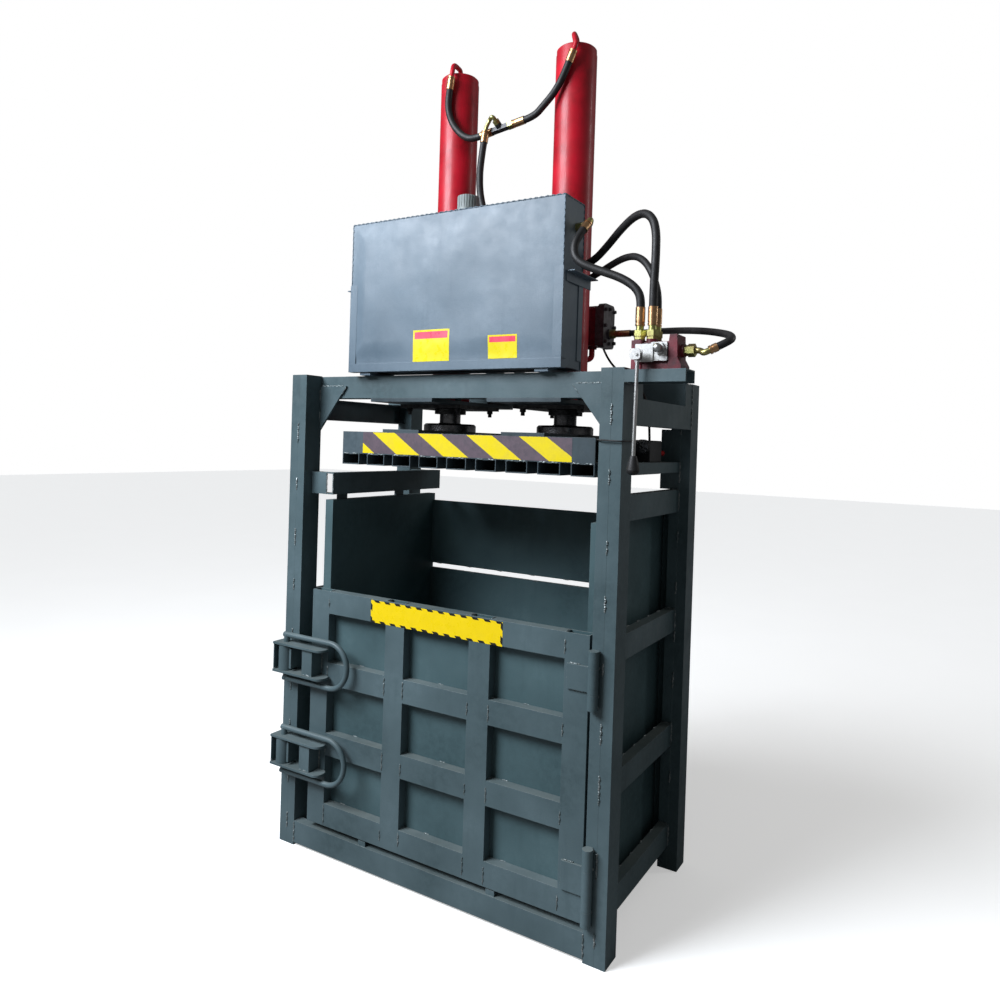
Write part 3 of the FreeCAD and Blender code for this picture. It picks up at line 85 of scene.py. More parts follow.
# ------------------------------------------------------------------- camera
eye = place(1900.65, -3058.79, 1896.84)
YAW, PITCH, ROLL = 31.2176, -0.5001, 1.7919
FOCAL_PX, CENTRE_X, CENTRE_Y = 781.65, 500.11, 447.85
yaw, pitch, roll = (math.radians(v) for v in (YAW, PITCH, ROLL))
forward = Vector((
    -math.sin(yaw) * math.cos(pitch), math.cos(yaw) * math.cos(pitch), math.sin(pitch)
))
right = forward.cross(Vector((0, 0, 1))).normalized()
up = right.cross(forward)
turn = Matrix.Rotation(-roll, 3, forward)
right = turn @ right
up = turn @ up
camera_data = bpy.data.cameras.new("camera")
camera_data.sensor_width = 36
camera_data.lens = FOCAL_PX / 1000 * 36
camera_data.shift_x = (500 - CENTRE_X) / 1000
camera_data.shift_y = (CENTRE_Y - 500) / 1000
camera_data.clip_end = 100
camera = bpy.data.objects.new("camera", camera_data)
scene.collection.objects.link(camera)
camera.matrix_world = Matrix((
    (right.x, up.x, -forward.x, eye.x),
    (right.y, up.y, -forward.y, eye.y),
    (right.z, up.z, -forward.z, eye.z),
    (0, 0, 0, 1),
))
scene.camera = camera


# ---------------------------------------------------------------- materials
def linear(rgb):
    """An sRGB colour of 0 to 255 as a linear one with alpha."""
    return tuple(((c / 255 + 0.055) / 1.055) ** 2.4 if c > 10 else c / 255 / 12.92
                 for c in rgb) + (1,)


class Tree:
    """A material's nodes, with short calls to add and join them."""

    def __init__(self, name):
        self.material = bpy.data.materials.new(name)
        self.material.use_nodes = True
        self.nodes = self.material.node_tree.nodes
        self.links = self.material.node_tree.links
        self.shader = self.nodes["Principled BSDF"]
        self.coordinates = self.nodes.new("ShaderNodeTexCoord").outputs["Object"]

    def add(self, kind, settings=(), **inputs):
        node = self.nodes.new(kind)
        for key, value in dict(settings).items():
            setattr(node, key, value)
        for key, value in inputs.items():
            self.put(node.inputs[key.replace("_", " ")], value)
        return node

    def put(self, socket, value):
        if isinstance(value, bpy.types.NodeSocket):
            self.links.new(value, socket)
        else:
            socket.default_value = value

    def noise(self, scale, detail=4.0, roughness=0.55, stretch=None):
        vector = self.coordinates
        if stretch:
            mapping = self.add("ShaderNodeMapping", Vector=vector, Scale=stretch)
            vector = mapping.outputs["Vector"]
        node = self.add(
            "ShaderNodeTexNoise", Vector=vector, Scale=scale, Detail=detail, Roughness=roughness
        )
        return node.outputs["Fac"]

    def ramp(self, value, low, high, start=0.0, end=1.0):
        """value from low to high becomes start to end."""
        node = self.nodes.new("ShaderNodeMapRange")
        self.put(node.inputs["Value"], value)
        for key, number in (
            ("From Min", low), ("From Max", high), ("To Min", start), ("To Max", end)
        ):
            node.inputs[key].default_value = number
        return node.outputs["Result"]

    def math(self, operation, a, b=0.0, clamp=False):
        node = self.nodes.new("ShaderNodeMath")
        node.operation = operation
        node.use_clamp = clamp
        self.put(node.inputs[0], a)
        self.put(node.inputs[1], b)
        return node.outputs[0]

    def mix(self, factor, a, b):
        node = self.nodes.new("ShaderNodeMix")
        node.data_type = "RGBA"
        self.put(node.inputs["Factor"], factor)
        self.put(node.inputs[6], a)
        self.put(node.inputs[7], b)
        return node.outputs[2]

    def bump(self, height, distance, normal=None, strength=1.0):
        node = self.add("ShaderNodeBump", Height=height, Distance=distance, Strength=strength)
        if normal:
            self.put(node.inputs["Normal"], normal)
        return node.outputs["Normal"]

    def finish(self, **inputs):
        for key, value in inputs.items():
            self.put(self.shader.inputs[key.replace("_", " ")], value)
        return self.material


def paint(name, base, light, dark, rough=(0.32, 0.5), peel=0.00025, wear=0.5, dust=0.25,
          coat=0.0, edge=(120, 125, 122), broad=2.2, specular=0.5):
    """Brushed or sprayed paint: cloudy tone, fine mottling, worn edges, dust on
    upward faces, a few chips, and an uneven surface."""
    t = Tree(name)
    cloud = t.noise(broad, 3)
    mottle = t.noise(38, 5, 0.65)
    streak = t.noise(9, 4, 0.6, (3.0, 3.0, 0.35))
    tone = t.mix(t.ramp(cloud, 0.35, 0.65), linear(dark), linear(light))
    tone = t.mix(t.ramp(mottle, 0.4, 0.62, 0.0, 0.55), tone, linear(base))
    tone = t.mix(t.ramp(streak, 0.55, 0.75, 0.0, 0.3), tone, linear(dark))
    bevel = t.add("ShaderNodeBevel", {"samples": 4}, Radius=0.0022)
    geometry = t.nodes.new("ShaderNodeNewGeometry")
    dot = t.nodes.new("ShaderNodeVectorMath")
    dot.operation = "DOT_PRODUCT"
    t.put(dot.inputs[0], bevel.outputs["Normal"])
    t.put(dot.inputs[1], geometry.outputs["Normal"])
    edge_mask = t.ramp(dot.outputs["Value"], 0.97, 0.8)
    break_up = t.ramp(t.noise(70, 4), 0.42, 0.62)
    edge_mask = t.math("MULTIPLY", t.math("MULTIPLY", edge_mask, break_up), wear)
    chip = t.ramp(t.noise(55, 6, 0.7), 0.71, 0.74, 0.0, 0.7 * wear)
    tone = t.mix(t.math("MAXIMUM", edge_mask, chip), tone, linear(edge))
    upward = t.add("ShaderNodeSeparateXYZ", Vector=geometry.outputs["Normal"]).outputs["Z"]
    dusty = t.math("MULTIPLY", t.ramp(upward, 0.6, 1.0), t.ramp(t.noise(6, 5), 0.3, 0.7, 0.3, 1.0))
    dusty = t.math("MULTIPLY", dusty, dust)
    tone = t.mix(dusty, tone, linear((150, 150, 140)))
    roughness = t.ramp(t.noise(14, 5, 0.6), 0.3, 0.7, rough[0], rough[1])
    roughness = t.math("ADD", roughness, t.math("MULTIPLY", dusty, 0.3), True)
    height = t.math("ADD", t.noise(190, 2), t.math("MULTIPLY", t.noise(16, 3), 3.0))
    normal = t.bump(height, peel, bevel.outputs["Normal"])
    t.shader.inputs["Coat Weight"].default_value = coat
    t.shader.inputs["Coat Roughness"].default_value = 0.08
    t.shader.inputs["Specular IOR Level"].default_value = specular
    return t.finish(Base_Color=tone, Roughness=roughness, Normal=normal)


def metal(name, base, other, rough=(0.25, 0.45), metallic=1.0, grime=0.4,
          dark=(35, 32, 30), bump=0.0001, scale=40):
    """Bare or plated metal with grime in patches and a finely uneven surface."""
    t = Tree(name)
    patch = t.noise(scale, 5, 0.6)
    tone = t.mix(t.ramp(patch, 0.38, 0.66), linear(base), linear(other))
    dirt = t.ramp(t.noise(scale * 0.6, 6, 0.7), 0.5, 0.72, 0.0, grime)
    tone = t.mix(dirt, tone, linear(dark))
    roughness = t.ramp(patch, 0.3, 0.7, rough[0], rough[1])
    roughness = t.math("ADD", roughness, t.math("MULTIPLY", dirt, 0.35), True)
    normal = t.bump(t.noise(scale * 9, 4), bump)
    t.shader.inputs["Metallic"].default_value = metallic
    return t.finish(Base_Color=tone, Roughness=roughness, Normal=normal)


def moulded(name, base, other, rough=(0.3, 0.5), bump=0.00012, scale=60, specular=0.5):
    """Rubber or plastic: slight tone change, scuffs and a fine grain."""
    t = Tree(name)
    tone = t.mix(t.ramp(t.noise(scale * 0.4, 5, 0.6), 0.35, 0.7), linear(base), linear(other))
    scuff = t.noise(scale, 6, 0.7)
    roughness = t.ramp(scuff, 0.3, 0.7, rough[0], rough[1])
    normal = t.bump(t.noise(scale * 12, 3), bump)
    t.shader.inputs["Specular IOR Level"].default_value = specular
    return t.finish(Base_Color=tone, Roughness=roughness, Normal=normal)


frame_paint = paint("frame_paint", (74, 91, 95), (84, 101, 106), (60, 76, 80), specular=0.32)
platen_paint = paint("platen_paint", (60, 72, 78), (74, 86, 92), (42, 52, 56), dust=0.2,
                     specular=0.3)
panel_paint = paint("panel_paint", (66, 88, 92), (76, 98, 102), (54, 74, 78), rough=(0.38, 0.58),
                    specular=0.3)
tank_paint = paint("tank_paint", (88, 104, 116), (98, 114, 126), (76, 92, 104),
                   rough=(0.36, 0.5), wear=0.3, specular=0.38)
red_paint = paint("red_paint", (178, 8, 30), (194, 14, 40), (140, 3, 20), rough=(0.34, 0.5),
                  wear=0.1, coat=0.08, dust=0.05, edge=(120, 20, 30), broad=5, specular=0.35)
valve_paint = paint("valve_paint", (100, 24, 38), (112, 34, 46), (56, 30, 34), wear=0.9,
                    broad=18, specular=0.4, edge=(110, 104, 104))


def pump_finish():
    """Maroon body with a bare grey end cover."""
    t = Tree("pump_finish")
    x = t.add("ShaderNodeSeparateXYZ", Vector=t.coordinates).outputs["X"]
    cover_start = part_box("pump")[1].x - 0.054
    cover = t.ramp(x, cover_start, cover_start + 0.0005)
    mottle = t.noise(40, 5, 0.65)
    body = t.mix(t.ramp(mottle, 0.35, 0.65), linear((126, 28, 44)), linear((84, 18, 30)))
    bare = t.mix(t.ramp(mottle, 0.4, 0.65), linear((92, 88, 92)), linear((52, 46, 50)))
    tone = t.mix(cover, body, bare)
    roughness = t.ramp(t.noise(14, 5, 0.6), 0.3, 0.7, 0.35, 0.5)
    return t.finish(Base_Color=tone, Roughness=roughness, Normal=t.bump(t.noise(160, 3), 0.0003))


pump_paint = pump_finish()
motor_paint = paint("motor_paint", (62, 82, 92), (74, 94, 104), (48, 64, 72), wear=0.4)
dark_steel = metal("dark_steel", (52, 52, 54), (84, 84, 84), rough=(0.35, 0.55), grime=0.7)
rod_steel = metal("rod_steel", (120, 120, 122), (90, 90, 94), rough=(0.18, 0.35), grime=0.5,
                  dark=(22, 20, 20))
alloy = metal("bright_alloy", (206, 206, 204), (160, 160, 158), rough=(0.28, 0.5), grime=0.35)
gold = metal("zinc_gold", (206, 168, 124), (172, 128, 92), rough=(0.24, 0.42), grime=0.3,
             dark=(78, 56, 40))
zinc = metal("yellow_zinc", (186, 186, 118), (150, 134, 92), rough=(0.28, 0.45), grime=0.4,
             dark=(66, 60, 44), scale=24)
weld_metal = metal("weld_metal", (140, 146, 146), (78, 92, 94), rough=(0.32, 0.6), grime=0.85,
                   dark=(60, 78, 82), scale=45, metallic=0.6)
rubber = moulded("black_rubber", (22, 22, 23), (34, 33, 33), rough=(0.42, 0.6), specular=0.35)
plastic = moulded("black_plastic", (28, 29, 31), (40, 41, 44), rough=(0.4, 0.6))
cap_plastic = moulded("cap_plastic", (126, 134, 132), (98, 106, 104), rough=(0.4, 0.6))
red_plastic = moulded("red_plastic", (206, 20, 26), (170, 10, 18), rough=(0.15, 0.3))

by_material = {
    frame_paint: """post_front_left post_front_right post_rear_left post_rear_right cross_beams
        side_beams gusset_plates base_channels side_rails rear_rails guide_rail
        door_frame hinge_barrels hinge_leaves latch_brackets latch_handle_upper
        latch_handle_lower latch_catches valve_arm control_shelf motor_stand""",
    panel_paint: "wall_left wall_right back_panels door_skin floor_plate",
    platen_paint: "platen_frame platen_tubes platen_pads cylinder_mount_plates",
    tank_paint: "oil_tank tank_cradle",
    red_paint: "cylinder_barrel_left cylinder_barrel_right cylinder_pipes",
    valve_paint: "valve_body",
    pump_paint: "pump",
    motor_paint: "motor",
    dark_steel: "cylinder_flanges flange_bolts motor_shaft tee_blocks",
    rod_steel: "piston_rods",
    alloy: "valve_bonnet control_lever bell_housing",
    gold: "hose_ferrules",
    zinc: "port_fittings",
    rubber: "lever_grip",
    plastic: "control_box",
    cap_plastic: "filler_cap",
    red_plastic: "selector_lever",
}
for material, names in by_material.items():
    for name in names.split():
        nodes[name].data.materials.clear()
        nodes[name].data.materials.append(material)


# -------------------------------------------------------------------- cords
tee_axis = Vector((0.985, 0.02, 0.15)).normalized()
tee_middle = Vector((36, -63, 3301))
left_tee_ferrule = tee_middle - tee_axis * 101
right_tee_ferrule = tee_middle + tee_axis * 123


def cord(name, body, diameter, points):
    """A hose, cable or wire: diameter and length in metres, points in millimetres."""
    data = bpy.data.curves.new(name, "CURVE")
    data.dimensions = "3D"
    spline = data.splines.new("NURBS")
    points = [place(*p) for p in points]
    spline.points.add(len(points) - 1)
    for point, at in zip(spline.points, points):
        point.co = (*at, 1)
    spline.order_u = 3
    spline.use_endpoint_u = True
    spline.resolution_u = 8
    data.bevel_depth = diameter / 2
    data.bevel_resolution = 5
    data.use_fill_caps = True
    data.materials.append(rubber)
    obj = new_object(name, data, body)
    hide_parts(name.replace("cord_", ""))


cord("cord_hose_left_cylinder", "frame", 0.031, [
    (-246, -71, 3530), (-252, -71, 3488), (-251, -71, 3443), (-240, -70, 3398),
    (-217, -69, 3355), (-184, -68, 3317), (-149, -67, 3291),
    left_tee_ferrule - tee_axis * 44, left_tee_ferrule,
])
cord("cord_hose_right_cylinder", "frame", 0.031, [
    (373, -71, 3522), (353, -71, 3478), (330, -71, 3436), (297, -70, 3396),
    (255, -67, 3362), right_tee_ferrule + tee_axis * 50, right_tee_ferrule,
])
cord("cord_hose_supply", "frame", 0.031, [
    (-26, -104, 3234), (-33, -110, 3160), (-34, -118, 3080), (-20, -130, 2994),
    (10, -139, 2906), (56, -142, 2820), (118, -142, 2744), (196, -141, 2682),
    (290, -140, 2642), (386, -139, 2620), (476, -142, 2618), (560, -156, 2640),
    (636, -196, 2684), (710, -248, 2726), (782, -298, 2754), (842, -338, 2752),
    (886, -369, 2716), (906, -388, 2660), (911, -398, 2596), (911, -401, 2530),
    (908, -400, 2462), (908, -400, 2392),
])
cord("cord_hose_tank_return", "frame", 0.031, [
    (600, -352, 2712), (593, -382, 2678), (588, -403, 2638), (598, -412, 2596),
    (630, -412, 2566), (676, -408, 2546), (724, -404, 2528), (770, -401, 2510),
    (810, -400, 2488), (842, -400, 2462), (861, -400, 2428), (861, -400, 2392),
])
cord("cord_hose_rod_side", "frame", 0.027, [
    (45, -58, 2190), (45, -98, 2190), (51, -135, 2204), (64, -159, 2238),
    (86, -166, 2284), (116, -160, 2332), (162, -142, 2392), (224, -122, 2444),
    (302, -106, 2490), (392, -98, 2530), (478, -102, 2564), (562, -126, 2592),
    (642, -170, 2613), (716, -220, 2623), (782, -268, 2614), (834, -306, 2582),
    (872, -332, 2534), (896, -346, 2482), (908, -350, 2434), (908, -350, 2392),
])
cord("cord_hose_pressure", "frame", 0.027, [
    (552, 250, 2400), (622, 250, 2400), (690, 206, 2396), (764, 128, 2384),
    (840, 40, 2370), (916, -48, 2355), (990, -126, 2340), (1052, -186, 2326),
    (1104, -236, 2312), (1146, -280, 2298), (1170, -318, 2284), (1176, -352, 2270),
    (1162, -376, 2256), (1138, -386, 2243),
])
cord("cord_motor_cable", "frame", 0.010, [
    (190, 330, 2545), (234, 330, 2545), (278, 348, 2530), (316, 366, 2490),
    (350, 370, 2424), (388, 352, 2344), (434, 322, 2284), (494, 284, 2234),
    (560, 242, 2196), (624, 200, 2162), (672, 162, 2116), (700, 134, 2060),
    (714, 120, 1992), (718, 118, 1917),
])
cord("cord_signal_wire", "frame", 0.006, [
    (717, 26, 1893), (724, -14, 1897), (752, -84, 1905), (792, -164, 1911),
    (828, -250, 1914), (838, -345, 1912), (837, -440, 1910), (823, -456, 1909),
    (780, -455, 1911), (739, -456, 1912), (724, -443, 1913), (725, -420, 1913),
    (730, -396, 1913),
])


# -------------------------------------------------------------------- welds
def add_bead(vertices, faces, start, end, radius):
    """A rippled weld bead between two points in metres."""
    along = end - start
    length = along.length
    direction = along.normalized()
    side = direction.cross(Vector((0.3, 0.5, 0.81))).normalized()
    other = direction.cross(side)
    rings = max(5, int(length / 0.0022))
    sides = 7
    first = len(vertices)
    for i in range(rings + 1):
        share = i / rings
        ripple = 1 + 0.24 * math.sin(i * 1.5) + random.uniform(-0.1, 0.1)
        end_taper = min(1.0, min(share, 1 - share) * length / 0.005 + 0.35)
        wander = side * (0.0016 * math.sin(i * 0.55) + random.uniform(-0.0006, 0.0006))
        for k in range(sides):
            angle = 2 * math.pi * k / sides
            spoke = side * math.cos(angle) + other * math.sin(angle)
            vertices.append(start + along * share + wander + spoke * radius * ripple * end_taper)
    for i in range(rings):
        for k in range(sides):
            a = first + i * sides + k
            b = first + i * sides + (k + 1) % sides
            faces.append((a, b, b + sides, a + sides))
    last = first + rings * sides
    faces.append(tuple(first + k for k in reversed(range(sides))))
    faces.append(tuple(last + k for k in range(sides)))


def weld_object(name, body, beads, material):
    """All of a body's beads as one piece; each is start, end and radius in millimetres."""
    vertices = []
    faces = []
    for start, end, radius in beads:
        add_bead(vertices, faces, place(*start), place(*end), radius * MM)
    smooth_piece(name, body, vertices, faces, material)


def stitches(x, y, z0, z1, pitch=235, length=82, radius=3.9):
    """Short beads up a seam."""
    beads = []
    z = z0
    while z + length < z1:
        reach = length * random.uniform(0.6, 1.5)
        beads.append(((x, y, z), (x, y, z + reach), radius))
        z += pitch * random.uniform(0.85, 1.15)
    return beads


HALF_DEPTH, POST_IN, POST_OUT, POST_BACK, SEAM = 445, 735, 826, 345, 780
BRACKET_X = (740, 766)
frame_beads = []
for sx in (-1, 1):
    inner = sx * POST_IN
    outer = sx * POST_OUT
    for sy in (-1, 1):
        face = sy * HALF_DEPTH
        back = sy * POST_BACK
        frame_beads += stitches(sx * SEAM, face, 70, 2150)
        frame_beads += stitches(sx * SEAM, back, 140, 2050, 240)
        frame_beads.append(((inner, sy * 400, 112), (inner, sy * 440, 112), 3.2))
        frame_beads.append(((inner, face, 16), (inner, face, 108), 3.4))
        for z in (2072, 2172):
            frame_beads.append(((sx * 738, back, z), (sx * 822, back, z), 3.6))
        for z0, z1 in ((2075, 2168), (1975, 2066)):
            frame_beads.append(((outer, back, z0), (outer, back, z1), 3.4))
for sx, bottoms in ((-1, (104, 556, 1071)), (1, (104, 556, 1071, 1605))):
    x = sx * SEAM
    for bottom in bottoms:
        for sy in (-1, 1):
            y = sy * POST_BACK
            frame_beads.append(((x, y, bottom + 6), (x, y, bottom + 94), 3.6))
            for z in (bottom, bottom + 100):
                frame_beads.append(((sx * 742, y, z), (sx * 776, y, z), 3.2))
for bottom in (104, 556, 1071):
    for k in range(5):
        y = -250 + 118 * k
        frame_beads.append(((737, y, bottom + 101), (737, y + 36, bottom + 101), 3.0))
for bottom in (112, 556, 1071, 1420):
    for sx in (-1, 1):
        frame_beads.append(((sx * POST_IN, 444, bottom + 8), (sx * POST_IN, 444, bottom + 92), 3.4))
for sx in (-1, 1):
    frame_beads += [
        ((sx * 728, -353, 2128), (sx * 590, -353, 2128), 2.6),
        ((sx * 577, -353, 2122), (sx * 606, -353, 2086), 2.2),
        ((sx * POST_IN, -356, 2110), (sx * POST_IN, -356, 2060), 3.2),
        ((sx * POST_IN, -356, 2010), (sx * POST_IN, -356, 1960), 3.2),
    ]
for z0, z1 in ((937, 947), (988, 978), (1090, 1080), (1146, 1136),
               (152, 142), (204, 194), (360, 350), (428, 418)):
    for x in BRACKET_X:
        frame_beads.append(((x, -447, z0), (x, -447, z1), 3.4))
for z in (2122, 2166):
    frame_beads.append(((POST_OUT, -440, z), (POST_OUT, -350, z), 3.4))
for x in (-640, -600):
    frame_beads.append(((x, -395, 1630), (x, -395, 1726), 3.2))
for y in (-180, 60, 240):
    frame_beads.append(((-601, y, 1603), (-601, y + 30, 1603), 3.0))
for k in range(7):
    x = -560 + 190 * k
    frame_beads.append(((x, 382, 1230), (x + 34, 382, 1230), 3.0))
    frame_beads.append(((x + 20, 382, 1202), (x + 52, 382, 1202), 3.0))
weld_object("welds_frame", "frame", frame_beads, weld_metal)

DOOR_LEFT, DOOR_RIGHT, DOOR_BOTTOM, DOOR_TOP, MEMBER = -655, 725, 140, 1197, 100
stile_step = (DOOR_RIGHT - DOOR_LEFT - MEMBER) / 3
rail_step = (DOOR_TOP - DOOR_BOTTOM - MEMBER) / 3
LABEL_LEFT, LABEL_RIGHT, LABEL_LOW, LABEL_HIGH = -312, 354, 1096, 1192
door_beads = []
for column in range(3):
    for row in range(4):
        z = DOOR_BOTTOM + rail_step * row
        for x in (
            DOOR_LEFT + stile_step * column + MEMBER,
            DOOR_LEFT + stile_step * (column + 1),
        ):
            a = random.uniform(4, 30)
            b = random.uniform(60, 96)
            under_label = row == 3 and LABEL_LEFT < x < LABEL_RIGHT
            if not under_label:
                door_beads.append(((x, -445.5, z + a), (x, -445.5, z + b), 2.6))
            for level in (z, z + MEMBER):
                door_beads.append(((x, -441, level), (x, -404, level), 2.8))
for column in range(3):
    for row in range(3):
        x0 = DOOR_LEFT + stile_step * column + MEMBER
        z0 = DOOR_BOTTOM + rail_step * row + MEMBER
        x = x0 + random.uniform(40, 220)
        door_beads.append(((x, -401, z0 + 1), (x + 26, -401, z0 + 1), 2.4))
for top, low in ((1086, 992), (355, 247)):
    for k in range(2):
        z = low + 8 + 48 * k
        door_beads.append(((640, -446.5, z), (640, -446.5, z + 34), 3.4))
    door_beads += [
        ((648, -447, top + 1), (690, -447, top + 1), 3.2),
        ((662, -447, low - 1), (706, -447, low - 1), 3.2),
    ]
for middle in (877, 450):
    for x in (-651, -590):
        door_beads.append(((x, -446, middle - 56), (x, -446, middle + 56), 3.8))
    for z in (middle - 56, middle + 56):
        door_beads.append(((-648, -508, z), (-592, -508, z), 3.4))
        door_beads.append(((-822, -516, z), (-822, -474, z), 3.4))
weld_object("welds_door", "door", door_beads, weld_metal)

press_beads = []
PLATEN_LEFT, PLATEN_RIGHT, TUBE = -589, 679, 100
tube_pitch = (PLATEN_RIGHT - PLATEN_LEFT - TUBE) / 8
for i in range(9):
    x = PLATEN_LEFT + tube_pitch * i
    for edge in (x + 8, x + 62):
        for y in (-351, 371):
            press_beads.append(((edge, y, 1820), (edge + 30, y, 1820), 3.0))
ROD_X, ROD_Y, RING_Z, RING_RADIUS, RING_BEADS = (-264, 354), 40, 1971, 51, 28
for x in ROD_X:
    ring = [
        (x + RING_RADIUS * math.cos(angle), ROD_Y + RING_RADIUS * math.sin(angle), RING_Z)
        for angle in (2 * math.pi * k / RING_BEADS for k in range(RING_BEADS + 1))
    ]
    press_beads += [(ring[k], ring[k + 1], 4.0) for k in range(RING_BEADS)]
weld_object("welds_press", "press", press_beads, weld_metal)

TANK_LEFT, TANK_RIGHT, TANK_FRONT, TANK_BACK = -525, 540, -390, -220
TANK_LOW, CRADLE_TOP, TANK_TOP = 2190, 2575, 2848
tank_beads = []
for x in (TANK_LEFT, TANK_RIGHT):
    tank_beads.append(((x, TANK_FRONT, CRADLE_TOP), (x, TANK_FRONT, TANK_TOP), 2.6))
    tank_beads.append(((x, TANK_BACK, CRADLE_TOP), (x, TANK_BACK, TANK_TOP), 2.6))
    tank_beads.append(((x, TANK_FRONT, TANK_TOP), (x, TANK_BACK, TANK_TOP), 2.6))
for y in (TANK_FRONT, TANK_BACK):
    tank_beads.append(((TANK_LEFT, y, TANK_TOP), (TANK_RIGHT, y, TANK_TOP), 2.6))
weld_object("welds_tank", "frame", tank_beads, tank_paint)


# -------------------------------------------------------- the tank's dented sheets
def dent(u, v, width, height, seed, depth):
    """How far a sheet of that size is pushed out, in metres; its rim stays flat."""
    rim = min(u * width, (1 - u) * width, v * height, (1 - v) * height)
    fade = max(0.0, min(1.0, rim / 0.09))
    fade = fade * fade * (3 - 2 * fade)
    swell = noise.noise((u * width * 3.1 + seed, v * height * 3.6, seed))
    small = noise.noise((u * width * 7.5, v * height * 7.0 + seed, 3.0 + seed))
    return 0.0004 + max(0.0, depth * (0.55 + 0.75 * swell + 0.3 * small)) * fade


def dented_sheet(name, corner, across, upward, outward, columns, rows, seed, depth):
    """A sheet just proud of the tank's face, pushed out in soft dents."""
    vertices = []
    width = across.length
    height = upward.length
    for j in range(rows + 1):
        for i in range(columns + 1):
            u = i / columns
            v = j / rows
            at = corner + across * u + upward * v
            vertices.append(at + outward * dent(u, v, width, height, seed, depth))
    obj = smooth_piece(name, "frame", vertices, grid_faces(columns, rows), tank_paint)


SHEET_WIDTH, SHEET_HEIGHT, FRONT_SEED, FRONT_DEPTH = 1.061, 0.613, 4.3, 0.009
SHEET_IN, SHEET_UP = 2, 42
low = place(TANK_LEFT + SHEET_IN, TANK_FRONT, TANK_LOW + SHEET_UP)
dented_sheet("tank_sheet_front", low, Vector((SHEET_WIDTH, 0, 0)), Vector((0, 0, SHEET_HEIGHT)),
             Vector((0, -1, 0)), 150, 90, FRONT_SEED, FRONT_DEPTH)


def tank_front_at(x, z):
    """The Y of the tank's dented front sheet, in millimetres."""
    u = (x - TANK_LEFT - SHEET_IN) * MM / SHEET_WIDTH
    v = (z - TANK_LOW - SHEET_UP) * MM / SHEET_HEIGHT
    return TANK_FRONT - dent(u, v, SHEET_WIDTH, SHEET_HEIGHT, FRONT_SEED, FRONT_DEPTH) / MM


low = place(TANK_RIGHT - SHEET_IN, TANK_BACK, TANK_LOW + SHEET_UP)
dented_sheet("tank_sheet_rear", low, Vector((-SHEET_WIDTH, 0, 0)), Vector((0, 0, SHEET_HEIGHT)),
             Vector((0, 1, 0)), 100, 60, 9.1, 0.005)


# --------------------------------------------------------------- tape and labels
def card(name, body, x0, x1, z0, z1, front_at, material):
    """A thin film on a face that looks to the front, with softly uneven edges."""
    vertices = []
    columns = 60
    rows = 8
    for j in range(rows + 1):
        for i in range(columns + 1):
            u = i / columns
            v = j / rows
            ripple = 0.5 + 0.5 * noise.noise((u * 9, v * 3, x0 * 0.1))
            edge = noise.noise((u * 22, v * 6, z0 * 0.1))
            x = x0 + (x1 - x0) * u + (0.5 * edge if i in (0, columns) else 0)
            z = z0 + (z1 - z0) * v + (0.4 * edge if j in (0, rows) else 0)
            vertices.append(place(x, front_at(x, z) - 0.3 - 0.7 * ripple, z))
    smooth_piece(name, body, vertices, grid_faces(columns, rows), material)


def axis_value(t, axis, start):
    """Metres along an axis from a start."""
    part = t.add("ShaderNodeSeparateXYZ", Vector=t.coordinates).outputs[axis]
    return t.math("SUBTRACT", part, start)


def striped_tape(x0, z0, period, share, slope, phase):
    """Slanted stripes, with the period and phase in millimetres."""
    t = Tree("hazard_tape")
    x = axis_value(t, "X", place(x0, 0, 0).x)
    z = axis_value(t, "Z", z0 * MM)
    slide = t.math("ADD", x, t.math("MULTIPLY", z, slope))
    slide = t.math("ADD", slide, phase * MM)
    cell = t.math("FRACT", t.math("DIVIDE", slide, period * MM))
    wobble = t.math("MULTIPLY", t.math("SUBTRACT", t.noise(60, 3), 0.5), 0.02)
    cell = t.math("ADD", cell, wobble)
    yellow = t.math("LESS_THAN", cell, share)
    worn = t.noise(26, 6, 0.7)
    film = t.mix(t.ramp(worn, 0.35, 0.7), linear((98, 84, 92)), linear((68, 60, 68)))
    faded = t.ramp(worn, 0.45, 0.75, 0.0, 0.5)
    bright = t.mix(faded, linear((218, 196, 4)), linear((190, 168, 16)))
    tone = t.mix(yellow, film, bright)
    roughness = t.ramp(worn, 0.3, 0.7, 0.28, 0.5)
    return t.finish(Base_Color=tone, Roughness=roughness, Normal=t.bump(t.noise(90, 3), 0.0002))


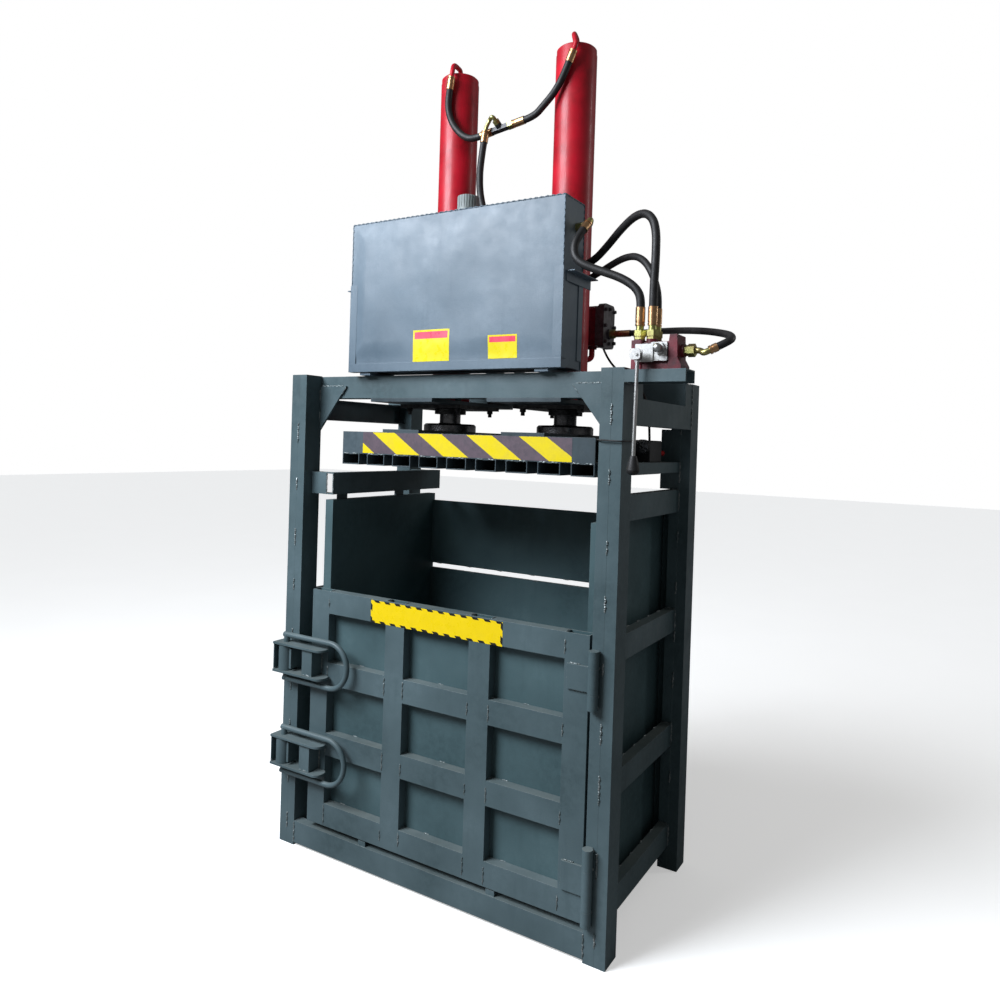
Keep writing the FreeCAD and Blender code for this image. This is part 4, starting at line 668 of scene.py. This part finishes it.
def bordered_label(name, x0, x1, z0, z1, field, border, margin, dash, header=None, band=(0, 0),
                   inset=0):
    """A colour field with a dashed border, or with a header band, and no print."""
    t = Tree(name)
    x = axis_value(t, "X", place(x0, 0, 0).x)
    z = axis_value(t, "Z", z0 * MM)
    from_side = t.math("MINIMUM", x, t.math("SUBTRACT", (x1 - x0) * MM, x))
    from_end = t.math("MINIMUM", z, t.math("SUBTRACT", (z1 - z0) * MM, z))
    rim = t.math("MINIMUM", from_side, from_end)
    tone = t.mix(t.noise(30, 5), linear(field), linear(tuple(int(c * 0.93) for c in field)))
    if dash:
        run = t.math("ADD", x, z)
        on = t.math("LESS_THAN", t.math("FRACT", t.math("DIVIDE", run, dash * MM)), 0.5)
        inside = t.math("LESS_THAN", rim, margin * MM)
        tone = t.mix(t.math("MULTIPLY", inside, on), tone, linear(border))
    if header:
        height = (z1 - z0) * MM
        top = t.math("GREATER_THAN", z, height * (1 - band[1]))
        under = t.math("LESS_THAN", z, height * (1 - band[0]))
        between = t.math("GREATER_THAN", from_side, inset * MM)
        mask = t.math("MULTIPLY", t.math("MULTIPLY", top, under), between)
        tone = t.mix(mask, tone, linear(header))
    roughness = t.ramp(t.noise(40, 4), 0.3, 0.7, 0.22, 0.4)
    return t.finish(Base_Color=tone, Roughness=roughness)


def flat_at(y):
    return lambda x, z: y


card("tape_platen", "press", -468, 582, 1824, 1918, flat_at(-350),
     striped_tape(-468, 1824, period=252.7, share=0.5, slope=1.48, phase=58.5))
card("label_door", "door", LABEL_LEFT, LABEL_RIGHT, LABEL_LOW, LABEL_HIGH, flat_at(-445),
     bordered_label("label_door", LABEL_LEFT, LABEL_RIGHT, LABEL_LOW, LABEL_HIGH,
                    (238, 206, 0), (26, 24, 20), 9, 56))
yellow = (226, 208, 20)
border_red = (226, 70, 96)
card("label_tank_left", "frame", -168, 21, 2224, 2358, tank_front_at,
     bordered_label("label_tank_left", -168, 21, 2224, 2358, yellow, yellow, 0, 0,
                    border_red, (0.06, 0.28), 8))
card("label_tank_right", "frame", 213, 348, 2227, 2321, tank_front_at,
     bordered_label("label_tank_right", 213, 348, 2227, 2321, yellow, yellow, 0, 0,
                    border_red, (0.07, 0.31), 7))


# ------------------------------------------------------------ floor and light
FLOOR_REACH = 30
floor_mesh = bpy.data.meshes.new("floor")
corners = [(-1, -1), (1, -1), (1, 1), (-1, 1)]
floor_mesh.from_pydata(
    [(x * FLOOR_REACH, y * FLOOR_REACH, 0) for x, y in corners], [], [(0, 1, 2, 3)]
)
floor = bpy.data.objects.new("floor", floor_mesh)
scene.collection.objects.link(floor)
t = Tree("floor")
shade = t.mix(t.noise(1.5, 3), linear((236, 236, 234)), linear((242, 242, 240)))
floor_path = t.nodes.new("ShaderNodeLightPath").outputs["Is Camera Ray"]
shade = t.mix(floor_path, (0.22, 0.22, 0.22, 1), shade)
t.shader.inputs["Emission Color"].default_value = (1, 1, 1, 1)
floor_mesh.materials.append(t.finish(
    Base_Color=shade, Roughness=0.75, Emission_Strength=t.math("MULTIPLY", floor_path, 0.42)
))

world = bpy.data.worlds.new("world")
scene.world = world
world.use_nodes = True
background = world.node_tree.nodes["Background"]
background.inputs["Color"].default_value = (1, 1, 1, 1)
light_path = world.node_tree.nodes.new("ShaderNodeLightPath")
strength = world.node_tree.nodes.new("ShaderNodeMapRange")
strength.inputs["To Min"].default_value = 0.16
strength.inputs["To Max"].default_value = 1.0
world.node_tree.links.new(light_path.outputs["Is Camera Ray"], strength.inputs["Value"])
world.node_tree.links.new(strength.outputs["Result"], background.inputs["Strength"])


def area_light(name, at, towards, size, power, colour=(1, 1, 1)):
    data = bpy.data.lights.new(name, "AREA")
    data.shape = "RECTANGLE"
    data.size, data.size_y = size
    data.energy = power
    data.color = colour
    lamp = bpy.data.objects.new(name, data)
    scene.collection.objects.link(lamp)
    lamp.location = at
    lamp.rotation_euler = (Vector(towards) - Vector(at)).to_track_quat("-Z", "Y").to_euler()


sun_data = bpy.data.lights.new("sun", "SUN")
sun_data.energy = 1.7
sun_data.color = (0.96, 1.0, 1.06)
sun_data.angle = math.radians(28)
sun = bpy.data.objects.new("sun", sun_data)
scene.collection.objects.link(sun)
sun.rotation_euler = Vector((0.50, 0.72, -0.78)).to_track_quat("-Z", "Y").to_euler()
area_light("key", (-2.0, -3.3, 4.2), (0, 0, 2.2), (2.6, 1.8), 270, (0.93, 0.99, 1.08))
area_light("strip", (3.4, 2.6, 4.0), (0.1, 0, 3.0), (0.5, 2.4), 22)
